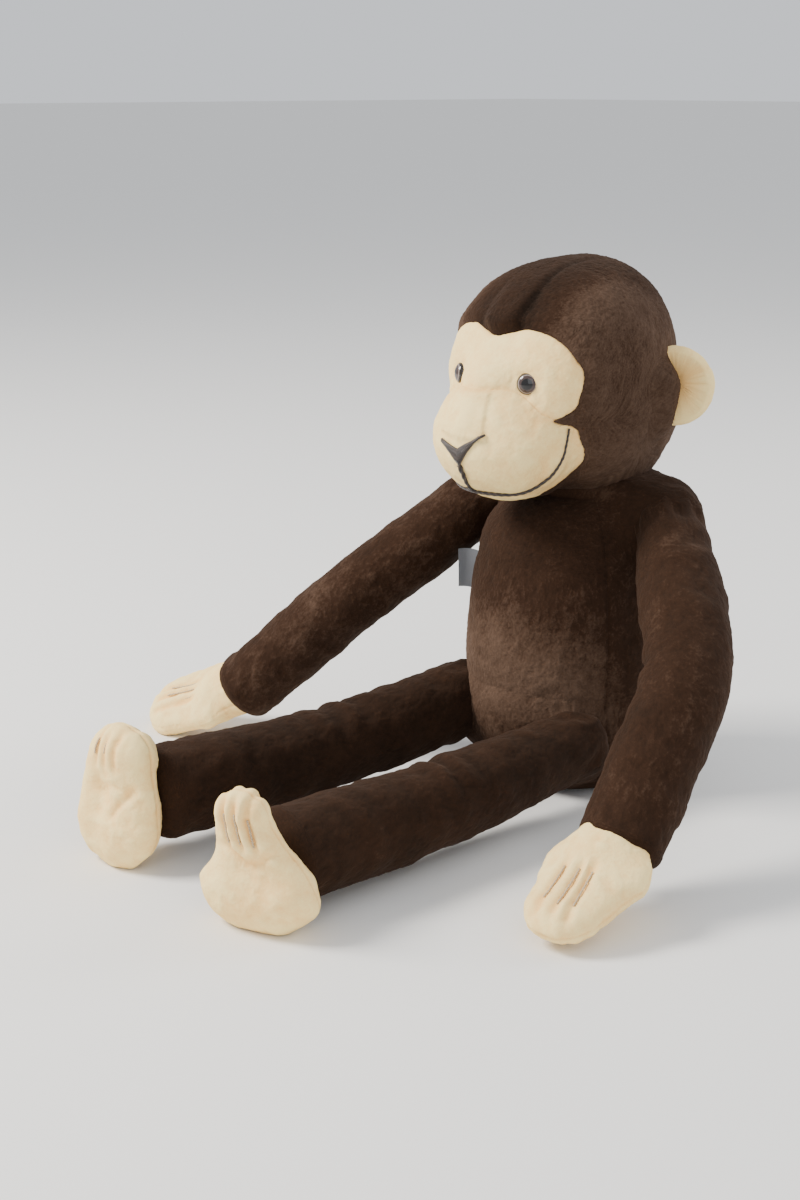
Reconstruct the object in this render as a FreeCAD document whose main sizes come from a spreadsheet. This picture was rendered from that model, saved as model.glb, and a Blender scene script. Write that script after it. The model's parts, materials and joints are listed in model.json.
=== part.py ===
"""Sitting stuffed monkey with long soft limbs, built as its sewing pattern pieces, fill and joints.

Millimetres. The origin is the centre of the flat seat, +Z is up, the monkey faces -Y and its left side is +X.
Every fabric panel is a thin shell, every stuffing is a solid inside it, and each limb pivots on a round end
that sits in a dished socket, where the toy has a soft sewn seam.
"""

import FreeCAD, Part
import math
import os

import Sketcher
from FreeCAD import Placement, Rotation, Vector

DIMENSIONS = [
    # fabric and clearances
    ("skin", 2.6, "plush fabric with its pile"),
    ("slack", 0.3, "room between a skin and what it holds"),
    ("thread", 0.6, "radius of a seam thread"),
    # torso: radius and height at each pattern point
    ("seat_radius", 36, "flat sitting base"),
    ("belly_radius", 52, "widest point of the torso"),
    ("belly_height", 52, ""),
    ("chest_radius", 47, "under the shoulders"),
    ("chest_height", 118, ""),
    ("neck_radius", 22, "neck opening of the torso"),
    ("neck_height", 144, ""),
    ("belly_low_bulge", 62, "arc radius from seat to belly"),
    ("belly_high_bulge", 190, "arc radius from belly to chest"),
    ("shoulder_bulge", 34, "arc radius from chest to neck"),
    ("neck_ball", 22, "stuffing that bulges into the head"),
    ("neck_socket", 25, "room for it in the head"),
    ("neck_pivot_height", 146, ""),
    ("pellet_radius", 23, "bag of plastic pellets in the seat"),
    ("pellet_height", 18, ""),
    ("pellet_back", 10, "its distance behind the torso axis"),
    # head
    ("head_radius", 50, "cheeks and back of the head"),
    ("crown_radius", 42.5, "its narrower top"),
    ("head_rise", 21.5, "cheek centre to crown centre"),
    ("head_lean", 33, "degrees that the crown leans back"),
    ("head_low", 198, "height of the cheek centre"),
    ("head_forward", 9, "cheek centre in front of the torso axis"),
    ("gusset_width", 18, "strip over the crown"),
    ("muzzle_radius", 35, ""),
    ("muzzle_forward", 43.5, "muzzle centre in front of the torso axis"),
    ("muzzle_centre_height", 182, ""),
    ("mouth_tilt", 36.7, "degrees that the mouth line leans back"),
    ("mouth_behind", 5.5, "mouth line behind the muzzle centre"),
    ("lobe_radius", 24.5, "round half of the face mask"),
    ("lobe_side", 15.5, "its centre beside the middle"),
    ("lobe_height", 205, ""),
    ("nose_half_width", 13, ""),
    ("nose_top", 185, ""),
    ("nose_bottom", 169, ""),
    ("nose_stroke", 6, "height of the embroidered stroke"),
    ("embroidery", 0.8, "thickness of raised stitching"),
    # eyes
    ("eye_radius", 5, "plastic safety eye"),
    ("eye_dome", 4, "height of its dome"),
    ("eye_stem_radius", 1.6, ""),
    ("eye_stem_length", 11, ""),
    ("eye_side", 23, ""),
    ("eye_height", 207, ""),
    ("washer_radius", 7, "locking washer behind the face"),
    ("washer_thickness", 1.6, ""),
    # ears
    ("ear_radius", 17.5, "half its height"),
    ("ear_reach", 2, "ear centre outside its root"),
    ("ear_half", 3.6, "half the ear's thickness"),
    ("ear_side", 45, "ear root"),
    ("ear_back", 14, ""),
    ("ear_height", 202.5, ""),
    ("ear_sweep", 32, "degrees that the ear leans back"),
    ("ear_clearance", 2.0, "room for it to fold"),
    # arms
    ("arm_radius", 17, "at the shoulder"),
    ("elbow_radius", 18.5, ""),
    ("wrist_radius", 16.5, ""),
    ("shoulder_side", 58.5, ""),
    ("shoulder_back", 3, ""),
    ("shoulder_height", 137, ""),
    ("elbow_room", 26, "bend centre to the round end of each half"),
    ("socket_room", 2.0, "gap between a limb's ball and its socket"),
    ("left_elbow_x", 114, ""),
    ("left_elbow_y", -52, ""),
    ("left_elbow_z", 96, ""),
    ("left_wrist_x", 126, ""),
    ("left_wrist_y", -103, ""),
    ("left_wrist_z", 31, ""),
    ("right_elbow_x", -92, ""),
    ("right_elbow_y", -68, ""),
    ("right_elbow_z", 92, ""),
    ("right_wrist_x", -142, ""),
    ("right_wrist_y", -101, ""),
    ("right_wrist_z", 31, ""),
    # hands
    ("palm_radius", 24, ""),
    ("finger_radius", 17, "rounded finger end"),
    ("hand_span", 19, "palm centre to finger centre"),
    ("hand_half", 11.5, "half the hand's thickness"),
    ("hand_reach", 24, "wrist to palm centre"),
    ("hand_neck", 9, "wrist to the hand's sewn edge"),
    ("left_hand_slope", 22, "degrees that the fingers point down"),
    ("right_hand_slope", 20, ""),
    ("left_hand_heading", 16, "degrees outward of straight ahead"),
    ("right_hand_heading", 68, ""),
    ("hand_rounding", 8.5, ""),
    # legs
    ("leg_root_radius", 12.5, "gathered end at the hip"),
    ("hip_room", 7.5, "gap between that end and its socket"),
    ("knee_radius", 19.5, ""),
    ("ankle_radius", 18, ""),
    ("hip_side", 39, ""),
    ("hip_forward", 38, ""),
    ("hip_height", 23, ""),
    ("knee_room", 27, ""),
    ("left_ankle_x", 38, ""),
    ("left_ankle_y", -210, ""),
    ("left_ankle_z", 26, ""),
    ("right_ankle_x", -46, ""),
    ("right_ankle_y", -214, ""),
    ("right_ankle_z", 30, ""),
    # feet
    ("heel_radius", 25, ""),
    ("toe_radius", 15, ""),
    ("foot_span", 27, "heel centre to toe centre"),
    ("foot_half", 12.5, "half the foot's thickness"),
    ("foot_reach", 24, "ankle to the middle of the foot"),
    ("foot_rounding", 9.5, ""),
    ("left_foot_heading", 20, "degrees that the sole turns outward"),
    ("right_foot_heading", 12, ""),
    ("left_foot_lean", -10, "degrees that the toes lean back"),
    ("right_foot_lean", 5, ""),
    # stitches that divide fingers and toes, and the side label
    ("stitch_length", 20, ""),
    ("stitch_spacing", 8.5, ""),
    ("label_width", 11, ""),
    ("label_height", 21, ""),
    ("label_thickness", 0.9, ""),
    ("label_centre_height", 100, ""),
    ("label_root", 52.3, "its sewn edge from the torso axis"),
    ("seam_forward", 28, "degrees that the side seams lie forward of the sides"),
]

doc = FreeCAD.newDocument("stuffed_monkey")
sheet = doc.addObject("Spreadsheet::Sheet", "Dims")
for row, (alias, value, note) in enumerate(DIMENSIONS, start=1):
    sheet.set(f"A{row}", alias)
    sheet.set(f"B{row}", str(value))
    sheet.setAlias(f"B{row}", alias)
    sheet.set(f"C{row}", note or alias.replace("_", " "))
doc.recompute()

SIZE = {alias: float(value) for alias, value, _ in DIMENSIONS}
UP = Vector(0, 0, 1)
SIDES = {"left": 1, "right": -1}
pieces = []


def cell(text):
    """An expression for the sheet, from a text whose bare words are its aliases."""
    out, word = "", ""
    for letter in text + " ":
        if letter.isalnum() or letter == "_":
            word += letter
            continue
        out += f"Dims.{word}" if word in SIZE else word
        out += letter
        word = ""
    return out.strip()


def number(text):
    """The value of such a text now."""
    value = sheet.evalExpression(cell(text))
    return float(getattr(value, "Value", value))


def keep(feature, label):
    """Names a finished sub-part and puts it on the list to write."""
    feature.Label = label
    pieces.append(feature)
    return feature


# ---- sketches and PartDesign bodies


def new_body(name):
    return doc.addObject("PartDesign::Body", name)


def plane_of(body, role):
    return next(f for f in body.Origin.OriginFeatures if f.Role == role)


def arc_between(a, b, radius):
    """The arc from a to b with that radius; a positive one bulges to the right of the way from a to b."""
    if radius < 0:
        a, b = b, a
    radius = abs(radius)
    half = (b - a).Length / 2
    rise = math.sqrt(max(radius * radius - half * half, 0))
    along = (b - a).normalize()
    centre = (a + b) * 0.5 - Vector(along.y, -along.x, 0) * rise
    start = math.atan2(a.y - centre.y, a.x - centre.x)
    end = math.atan2(b.y - centre.y, b.x - centre.x)
    return Part.ArcOfCircle(Part.Circle(centre, UP, radius), start, end)


def draw(body, role, corners, name):
    """A closed sketch on an origin plane; a corner is (x, y, radius of the arc that arrives there or None)."""
    sketch = body.newObject("Sketcher::SketchObject", name)
    sketch.AttachmentSupport = (plane_of(body, role), "")
    sketch.MapMode = "FlatFace"
    points = [Vector(number(x), number(y), 0) for x, y, _ in corners]
    for i, (_, _, radius) in enumerate(corners):
        a, b = points[i - 1], points[i]
        if radius is None:
            sketch.addGeometry(Part.LineSegment(a, b), False)
        else:
            sketch.addGeometry(arc_between(a, b, number(radius)), False)
    ends = []
    for i in range(len(corners)):
        geometry = sketch.Geometry[i]
        at_end = (geometry.EndPoint - points[i]).Length < 1e-6
        ends.append((2, 1) if at_end else (1, 2))
    for i, (x, y, radius) in enumerate(corners):
        after = (i + 1) % len(corners)
        sketch.addConstraint(Sketcher.Constraint("Coincident", i, ends[i][0], after, ends[after][1]))
        for kind, text, value in (("DistanceX", x, points[i].x), ("DistanceY", y, points[i].y)):
            index = sketch.addConstraint(Sketcher.Constraint(kind, -1, 1, i, ends[i][0], value))
            sketch.setExpression(f"Constraints[{index}]", cell(text))
        if radius is not None:
            index = sketch.addConstraint(Sketcher.Constraint("Radius", i, abs(number(radius))))
            sketch.setExpression(f"Constraints[{index}]", cell(radius.lstrip("-")))
    return sketch


def revolved(name, corners, angle=360, turn=0):
    """A body turned about its own Z axis from a profile of (radius, height) corners."""
    body = new_body(name)
    sketch = draw(body, "XZ_Plane", corners, name + "_profile")
    feature = body.newObject("PartDesign::Revolution", name + "_turned")
    feature.Profile = sketch
    feature.ReferenceAxis = (sketch, ["V_Axis"])
    feature.Angle = angle
    body.Placement = Placement(Vector(), Rotation(UP, turn))
    return body


def padded(name, corners, length, both_ways=False, role="XY_Plane"):
    """A body with one pad of a sketch on an origin plane."""
    body = new_body(name)
    sketch = draw(body, role, corners, name + "_outline")
    feature = body.newObject("PartDesign::Pad", name + "_pad")
    feature.Profile = sketch
    feature.setExpression("Length", cell(length))
    feature.Midplane = both_ways
    return body


def rounded(body, radius, tops):
    """Rounds the edges of a padded body that lie on its top, or on both ends."""
    doc.recompute()
    pad = body.Tip
    low, high = pad.Shape.BoundBox.ZMin, pad.Shape.BoundBox.ZMax
    heights = {"top": [high], "both": [low, high]}[tops]
    names = []
    for i, edge in enumerate(pad.Shape.Edges, start=1):
        box = edge.BoundBox
        if any(abs(box.ZMin - z) < 1e-4 and abs(box.ZMax - z) < 1e-4 for z in heights):
            names.append(f"Edge{i}")
    fillet = body.newObject("PartDesign::Fillet", body.Name + "_rounded")
    fillet.Base = (pad, names)
    fillet.setExpression("Radius", cell(radius))
    body.Tip = fillet
    return body


# ---- Part primitives and booleans


def ball(name, radius, centre):
    feature = doc.addObject("Part::Sphere", name)
    feature.setExpression("Radius", cell(radius))
    feature.Placement.Base = centre
    return feature


def rod(name, radius, height, centre, direction):
    """A cylinder that starts at centre and runs along direction."""
    feature = doc.addObject("Part::Cylinder", name)
    feature.setExpression("Radius", cell(radius))
    feature.setExpression("Height", cell(height))
    feature.Placement = Placement(centre, Rotation(UP, direction))
    return feature


def block(name, low, high):
    feature = doc.addObject("Part::Box", name)
    feature.Length, feature.Width, feature.Height = high - low
    feature.Placement.Base = low
    return feature


def less(name, base, *tools):
    """base with each tool cut away."""
    for i, tool in enumerate(tools):
        cut = doc.addObject("Part::Cut", f"{name}_cut{i}")
        cut.Base = base
        cut.Tool = tool
        base = cut
    return base


def shared(name, *shapes):
    feature = doc.addObject("Part::MultiCommon", name)
    feature.Shapes = list(shapes)
    return feature


def joined(name, *shapes):
    feature = doc.addObject("Part::MultiFuse", name)
    feature.Shapes = list(shapes)
    return feature


def group(name, *shapes):
    """Several separate solids as one node."""
    feature = doc.addObject("Part::Compound", name)
    feature.Links = list(shapes)
    return feature


def seam_ring(name, ball_radius, room, centre, towards, polar):
    """A thread ring that lies in the gap round a ball, polar degrees from the way it faces."""
    reach = number(f"{ball_radius} + {room} / 2")
    feature = doc.addObject("Part::Torus", name)
    feature.setExpression("Radius1", cell(f"({ball_radius} + {room} / 2) * sin({polar})"))
    feature.setExpression("Radius2", cell("thread"))
    offset = towards * (reach * math.cos(math.radians(float(polar))))
    feature.Placement = Placement(centre + offset, Rotation(UP, towards))
    return feature


# ---- where the joints are


def point(prefix):
    return Vector(*[SIZE[f"{prefix}_{axis}"] for axis in "xyz"])


def shoulder(sign):
    return Vector(sign * SIZE["shoulder_side"], SIZE["shoulder_back"], SIZE["shoulder_height"])


def hip(sign):
    return Vector(sign * SIZE["hip_side"], -SIZE["hip_forward"], SIZE["hip_height"])


def knee(side, sign):
    return (hip(sign) + point(f"{side}_ankle")) * 0.5


NECK = Vector(0, 0, SIZE["neck_pivot_height"])
HEAD = Vector(0, -SIZE["head_forward"], SIZE["head_low"])
MUZZLE = Vector(0, -SIZE["muzzle_forward"], SIZE["muzzle_centre_height"])


# ---- torso


def torso_profile():
    """The torso's shell from the edge of its seat to the neck, as a band."""
    inner = "- skin"
    return [
        ("seat_radius + 0.1", "0", None),
        ("belly_radius", "belly_height", "belly_low_bulge"),
        ("chest_radius", "chest_height", "belly_high_bulge"),
        ("neck_radius", "neck_height", "shoulder_bulge"),
        (f"neck_radius {inner}", "neck_height - skin / 2", None),
        (f"chest_radius {inner}", "chest_height", "-(shoulder_bulge - skin)"),
        (f"belly_radius {inner}", "belly_height", "-(belly_high_bulge - skin)"),
        (f"seat_radius {inner}", "skin", "-(belly_low_bulge - skin)"),
    ]


def torso_fill_profile():
    """The stuffing inside that shell, with the round top that fills the base of the head."""
    inset = "- skin - slack"
    return [
        ("0", "skin + slack", None),
        (f"seat_radius {inset}", "skin + slack", None),
        (f"belly_radius {inset}", "belly_height", "belly_low_bulge - skin - slack"),
        (f"chest_radius {inset}", "chest_height", "belly_high_bulge - skin - slack"),
        (f"neck_radius {inset}", "neck_height - 2 * skin", "shoulder_bulge - skin - slack"),
        (f"neck_radius {inset}", "neck_pivot_height", None),
        ("neck_ball", "neck_pivot_height", None),
        ("0", "neck_pivot_height + neck_ball", "neck_ball"),
    ]


def build_torso():
    sockets = joined(
        "sockets",
        *[ball(f"shoulder_socket_{s}", "arm_radius + socket_room", shoulder(k)) for s, k in SIDES.items()],
        *[ball(f"hip_socket_{s}", "leg_root_radius + hip_room", hip(k)) for s, k in SIDES.items()],
    )
    for label, angle, turn in (
        ("body_front_panel", "180 - 2 * seam_forward", "180 + seam_forward"),
        ("body_back_left_panel", "90 + seam_forward", "-seam_forward"),
        ("body_back_right_panel", "90 + seam_forward", "90"),
    ):
        panel = revolved(label + "_shell", torso_profile(), number(angle), number(turn))
        keep(less(label, panel, sockets), label)
    seat = revolved(
        "seat_disc",
        [
            ("0", "0", None),
            ("seat_radius", "0", None),
            ("seat_radius - skin", "skin", None),
            ("0", "skin", None),
        ],
    )
    keep(seat, "seat_panel")
    fill = revolved("torso_fill", torso_fill_profile())
    pellets = revolved("pellets", pellet_profile("0"))
    room = revolved("pellet_room", pellet_profile("slack"))
    at = Vector(0, SIZE["pellet_back"], number("skin + 2 * slack"))
    pellets.Placement.Base = at
    room.Placement.Base = at
    keep(pellets, "pellet_bag")
    keep(less("body_stuffing", fill, sockets, room), "body_stuffing")


def pellet_profile(extra):
    """A round flat-bottomed bag; extra is the room left round it."""
    return [
        ("0", f"-({extra})", None),
        (f"pellet_radius - 4 + {extra}", f"-({extra})", None),
        (f"pellet_radius + {extra}", "pellet_height / 2", "pellet_height"),
        (f"pellet_radius - 6 + {extra}", f"pellet_height + {extra}", "pellet_height"),
        ("0", f"pellet_height + {extra}", None),
    ]


def build_label():
    label = padded(
        "label_strip",
        [
            ("0", "-label_height / 2", None),
            ("label_width", "-label_height / 2", None),
            ("label_width", "label_height / 2", None),
            ("0", "label_height / 2", None),
        ],
        "label_thickness",
        both_ways=True,
        role="XZ_Plane",
    )
    seam = Placement(Vector(0, 0, SIZE["label_centre_height"]), Rotation(UP, SIZE["seam_forward"]))
    outer_edge = Vector(-number("label_root + label_width"), 0, 0)
    label.Placement = seam.multiply(Placement(outer_edge, Rotation()))
    keep(label, "side_label")


# ---- head


def head_egg(extra):
    """The head's egg profile, grown by extra: cheeks at the origin, the narrower crown above."""
    big, small = f"(head_radius + {extra})", f"(crown_radius + {extra})"
    sine = "((head_radius - crown_radius) / head_rise)"
    cosine = f"sqrt(1 - {sine} ^ 2)"
    return [
        ("0", f"-{big}", None),
        (f"{big} * {cosine}", f"{big} * {sine}", big),
        (f"{small} * {cosine}", f"head_rise + {small} * {sine}", None),
        ("0", f"head_rise + {small}", small),
    ]


def head_solid(name, extra):
    body = revolved(name, head_egg(extra))
    body.Placement = Placement(HEAD, Rotation(Vector(1, 0, 0), -SIZE["head_lean"]))
    return body


def eye_place(sign):
    """The eye's seat on the head and its outward direction."""
    across, rise = sign * SIZE["eye_side"], SIZE["eye_height"] - HEAD.z
    depth = math.sqrt(SIZE["head_radius"] ** 2 - across**2 - rise**2)
    out = Vector(across, -depth, rise)
    return HEAD + out, Vector(out).normalize()


def shell_ball(name, inner, outer, centre):
    """A thin spherical shell."""
    return less(name, ball(name + "_outer", outer, centre), ball(name + "_inner", inner, centre))


def lobe_centre(sign):
    return Vector(sign * SIZE["lobe_side"], HEAD.y, SIZE["lobe_height"])


def eye_bores(name, radius, start, length):
    """One straight bore along the axis of each eye; start is measured outward from the skin."""
    bores = []
    for side, sign in SIDES.items():
        place, outward = eye_place(sign)
        bores.append(rod(f"{name}_{side}", radius, length, place + outward * start, outward))
    return bores


def build_head():
    band = less("head_shell", head_solid("head_outside", "0"), head_solid("head_inside", "(0 - skin)"))
    socket = ball("neck_room", "neck_socket", NECK)
    muzzle_hole = ball("muzzle_hole", "muzzle_radius + slack / 3", MUZZLE)
    lobes = [
        rod(f"lobe_{side}", "lobe_radius", "head_radius + 20", lobe_centre(sign), Vector(0, -1, 0))
        for side, sign in SIDES.items()
    ]
    mask_tool = joined("mask_tool", *lobes)
    stems = eye_bores("stem_hole", "eye_stem_radius + slack / 2", -6, "10")
    keep(less("face_mask", shared("mask_area", band, mask_tool), muzzle_hole, *stems), "face_mask")
    brown = less("brown_shell", band, mask_tool, muzzle_hole, socket)
    half = SIZE["gusset_width"] / 2
    far = 90
    low, high = Vector(-half, -far, 100), Vector(half, far, 300)
    keep(shared("head_crown_gusset", brown, block("gusset_slab", low, high)), "head_crown_gusset")
    for side, sign in SIDES.items():
        inner, outer = sorted((sign * half, sign * far))
        slab = block(f"{side}_slab", Vector(inner, -far, 100), Vector(outer, far, 300))
        keep(shared(f"head_{side}_panel", brown, slab), f"head_{side}_panel")

    # muzzle and chin, divided along the mouth
    head_space = head_solid("head_space", "slack / 3")
    muzzle_shell = shell_ball("muzzle_shell", "muzzle_radius - skin", "muzzle_radius", MUZZLE)
    muzzle_skin = less("muzzle_skin", muzzle_shell, head_space)
    reach = 60
    chin_side = block("chin_side", Vector(-reach, 0, -reach), Vector(reach, reach, reach))
    lean = Rotation(Vector(1, 0, 0), -SIZE["mouth_tilt"])
    mouth_point = MUZZLE + lean.multVec(Vector(0, SIZE["mouth_behind"], 0))
    chin_side.Placement = Placement(mouth_point, lean).multiply(chin_side.Placement)
    eye_rooms = eye_bores("eye_room", "eye_radius + slack", -6, "20")
    keep(less("muzzle_panel", muzzle_skin, chin_side, *eye_rooms), "muzzle_panel")
    keep(shared("chin_panel", muzzle_skin, chin_side), "chin_panel")

    # raised stitching: the mouth line with the line below the nose, and the nose
    stitch_inner, stitch_outer = "muzzle_radius + 0.05", "muzzle_radius + embroidery"
    raised = shell_ball("mouth_skin", stitch_inner, stitch_outer, MUZZLE)
    mouth_shell = less("mouth_shell", raised, head_space)
    line = SIZE["thread"] * 1.4
    mouth_slab = block("mouth_slab", Vector(-reach, -line, -reach), Vector(reach, line, reach))
    mouth_slab.Placement = Placement(mouth_point, lean).multiply(mouth_slab.Placement)
    top_of_line = Vector(line, MUZZLE.y, SIZE["nose_bottom"] + 1)
    middle = block("philtrum_slab", Vector(-line, -100, 130), top_of_line)
    above_mouth = less("above_mouth", middle, chin_side)
    lines = joined("mouth_lines", mouth_slab, above_mouth)
    keep(shared("mouth_embroidery", mouth_shell, lines), "mouth_embroidery")
    nose = padded(
        "nose_prism",
        [
            ("-nose_half_width", "nose_top", None),
            ("0", "nose_bottom + nose_stroke", None),
            ("nose_half_width", "nose_top", None),
            ("nose_half_width - 3", "nose_top - nose_stroke", None),
            ("0", "nose_bottom - nose_stroke / 2", None),
            ("-(nose_half_width - 3)", "nose_top - nose_stroke", None),
        ],
        "100",
        role="XZ_Plane",
    )
    nose.Placement.Base = Vector(0, MUZZLE.y, 0)
    nose_inner, nose_outer = "muzzle_radius + embroidery + 0.1", "muzzle_radius + 2.2 * embroidery"
    nose_shell = shell_ball("nose_skin", nose_inner, nose_outer, MUZZLE)
    keep(shared("nose_embroidery", nose_shell, nose), "nose_embroidery")

    # fill of head and muzzle
    head_fill = head_solid("head_fill", "(0 - skin - slack)")
    muzzle_fill = ball("muzzle_fill", "muzzle_radius - skin - slack", MUZZLE)
    filled = joined("filled_head", head_fill, muzzle_fill)
    holes = eye_bores("washer_room", "washer_radius + slack", -13, "20")
    keep(less("head_stuffing", filled, socket, *holes), "head_stuffing")
    ring = doc.addObject("Part::Torus", "neck_ring")
    ring.setExpression("Radius1", cell("(neck_ball + neck_socket) / 2 * sin(55)"))
    ring.setExpression("Radius2", cell("thread"))
    ring.Placement.Base = NECK + UP * number("(neck_ball + neck_socket) / 2 * cos(55)")
    keep(ring, "neck_seam")


def build_eyes():
    washers = []
    for side, sign in SIDES.items():
        seat, out = eye_place(sign)
        turn = Rotation(UP, out)
        eye = revolved(
            f"{side}_safety_eye",
            [
                ("0", "-eye_stem_length", None),
                ("eye_stem_radius", "-eye_stem_length", None),
                ("eye_stem_radius", "slack", None),
                ("eye_radius", "slack", None),
                ("eye_radius", "1", None),
                ("0", "eye_dome", "(eye_radius ^ 2 + (eye_dome - 1) ^ 2) / (2 * (eye_dome - 1))"),
            ],
        )
        eye.Placement = Placement(seat, turn)
        keep(eye, f"{side}_eye")
        washer = revolved(
            f"{side}_washer",
            [
                ("eye_stem_radius + slack / 3", "0", None),
                ("washer_radius", "0", None),
                ("washer_radius - 1", "washer_thickness", None),
                ("eye_stem_radius + slack / 3", "washer_thickness", None),
            ],
        )
        washer.Placement = Placement(seat - out * number("skin + washer_thickness + 3 * slack"), turn)
        washers.append(washer)
    keep(group("eye_washers_pair", *washers), "eye_washers")


# ---- flat stuffed pieces: ears, hands and feet are two shells with fill between them


def egg(big, small, span, inset="0"):
    """An egg outline, big end at the origin and small end span above it, moved inward by inset."""
    wide, narrow = f"({big} - {inset})", f"({small} - {inset})"
    sine = f"(({big} - {small}) / {span})"
    cosine = f"sqrt(1 - {sine} ^ 2)"
    return [
        (f"-{wide} * {cosine}", f"{wide} * {sine}", None),
        ("0", f"-{wide}", wide),
        (f"{wide} * {cosine}", f"{wide} * {sine}", wide),
        (f"{narrow} * {cosine}", f"{span} + {narrow} * {sine}", None),
        ("0", f"{span} + {narrow}", narrow),
        (f"-{narrow} * {cosine}", f"{span} + {narrow} * {sine}", narrow),
    ]


def half_shell(name, sizes, half, rounding, place):
    """One rounded tray of an egg outline, open at its middle plane."""
    outer = rounded(padded(name + "_outer", egg(*sizes), half), rounding, "top")
    hollow = padded(name + "_inner", egg(*sizes, "skin"), f"{half} - skin")
    inner = rounded(hollow, f"{rounding} - skin", "top")
    shell = less(name + "_tray", outer, inner)
    shell.Placement = place
    return shell


def flat_fill(name, sizes, half, rounding, place):
    depth = f"2 * ({half} - skin - slack)"
    body = padded(name + "_fill", egg(*sizes, "(skin + slack)"), depth, both_ways=True)
    rounded(body, f"{rounding} - skin - slack", "both")
    body.Placement = place
    return body


def axes(x, y):
    """The rotation that takes X and Y to the given directions."""
    x = Vector(x).normalize()
    z = x.cross(Vector(y)).normalize()
    return Rotation(x, z.cross(x), z, "ZXY")


def stitches(name, count, start, place, height):
    """Threads side by side that pull a hand or foot into fingers or toes."""
    rods = []
    for i in range(count):
        across = (i - (count - 1) / 2) * SIZE["stitch_spacing"]
        from_here = Vector(across, start, height)
        thread = rod(f"{name}_{i}", "thread", "stitch_length", from_here, Vector(0, 1, 0))
        thread.Placement = place.multiply(thread.Placement)
        rods.append(thread)
    return group(name + "_threads", *rods)


FLIP = Placement(Vector(), Rotation(Vector(0, 1, 0), 180))


def build_ears():
    head = head_solid("ear_clear_head", "ear_clearance")
    sizes = ("ear_radius", "ear_radius - 1", "ear_reach")
    for side, sign in SIDES.items():
        sweep = math.radians(SIZE["ear_sweep"])
        out = Vector(sign * math.cos(sweep), math.sin(sweep), 0)
        root = Vector(sign * SIZE["ear_side"], SIZE["ear_back"], SIZE["ear_height"])
        place = Placement(root, axes(UP * -sign, out))
        front = place if place.Rotation.multVec(UP).y < 0 else place.multiply(FLIP)
        back = front.multiply(FLIP)
        for label, at in ((f"{side}_ear_front", front), (f"{side}_ear_back", back)):
            tray = half_shell(label, sizes, "ear_half", "ear_half - 0.4", at)
            keep(less(label, tray, head), label)


def hand_place(side, sign):
    """The hand's frame: +Y to the fingertips, +Z out of its back."""
    heading = math.radians(SIZE[f"{side}_hand_heading"])
    slope = math.radians(SIZE[f"{side}_hand_slope"])
    level = Vector(sign * math.sin(heading), -math.cos(heading), 0)
    ahead = level * math.cos(slope) - UP * math.sin(slope)
    across = ahead.cross(UP)
    return point(f"{side}_wrist"), axes(across, ahead), ahead


def build_hands():
    sizes = ("palm_radius", "finger_radius", "hand_span")
    for side, sign in SIDES.items():
        wrist, turn, ahead = hand_place(side, sign)
        place = Placement(wrist + ahead * SIZE["hand_reach"], turn)
        room = ball(f"{side}_wrist_room", "wrist_radius + 0.6", wrist)
        behind = block(f"{side}_behind_wrist", Vector(-60, -60, -60), Vector(60, SIZE["hand_neck"], 60))
        behind.Placement = Placement(wrist, turn).multiply(behind.Placement)
        for label, at in ((f"{side}_hand_back", place), (f"{side}_hand_palm", place.multiply(FLIP))):
            tray = half_shell(label, sizes, "hand_half", "hand_rounding", at)
            keep(less(label, tray, behind, room), label)
        fill = flat_fill(f"{side}_hand", sizes, "hand_half", "hand_rounding", place)
        keep(less(f"{side}_hand_stuffing", fill, behind, room), f"{side}_hand_stuffing")
        height = number("hand_half + thread + 0.05")
        threads = stitches(f"{side}_finger", 3, 6, place, height)
        keep(threads, f"{side}_finger_stitches")


def foot_place(side, sign):
    """The foot's frame: +Y to the toes, +Z out of its sole."""
    heading = math.radians(SIZE[f"{side}_foot_heading"])
    lean = math.radians(SIZE[f"{side}_foot_lean"])
    ahead = Vector(sign * math.sin(heading), -math.cos(heading), 0)
    toes = UP * math.cos(lean) - ahead * math.sin(lean)
    sole = ahead * math.cos(lean) + UP * math.sin(lean)
    ankle = point(f"{side}_ankle")
    centre = ankle + ahead * SIZE["foot_reach"]
    centre.z = SIZE["heel_radius"] + 0.6
    return ankle, Placement(centre, axes(toes.cross(sole), toes))


def build_feet():
    sizes = ("heel_radius", "toe_radius", "foot_span")
    for side, sign in SIDES.items():
        ankle, place = foot_place(side, sign)
        room = ball(f"{side}_ankle_room", "ankle_radius + 0.6", ankle)
        for label, at in ((f"{side}_foot_sole", place), (f"{side}_foot_top", place.multiply(FLIP))):
            tray = half_shell(label, sizes, "foot_half", "foot_rounding", at)
            keep(less(label, tray, room), label)
        fill = flat_fill(f"{side}_foot", sizes, "foot_half", "foot_rounding", place)
        keep(less(f"{side}_foot_stuffing", fill, room), f"{side}_foot_stuffing")
        height = number("foot_half + thread + 0.05")
        threads = stitches(f"{side}_toe", 3, 12, place, height)
        keep(threads, f"{side}_toe_stitches")


# ---- limbs: each half is a tube with round ends and fill inside


def sleeve(name, start_radius, end_radius, length, opening="25"):
    """A tube with round, open ends; its origin is the centre of its first end."""
    start_inner, end_inner = f"({start_radius} - skin)", f"({end_radius} - skin)"
    return revolved(
        name,
        [
            (f"{start_radius} * sin({opening})", f"-{start_radius} * cos({opening})", None),
            (start_radius, "0", start_radius),
            (end_radius, length, None),
            (f"{end_radius} * sin({opening})", f"{length} + {end_radius} * cos({opening})", end_radius),
            (f"{end_inner} * sin({opening})", f"{length} + {end_inner} * cos({opening})", None),
            (end_inner, length, f"-{end_inner}"),
            (start_inner, "0", None),
            (f"{start_inner} * sin({opening})", f"-{start_inner} * cos({opening})", f"-{start_inner}"),
        ],
    )


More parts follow.
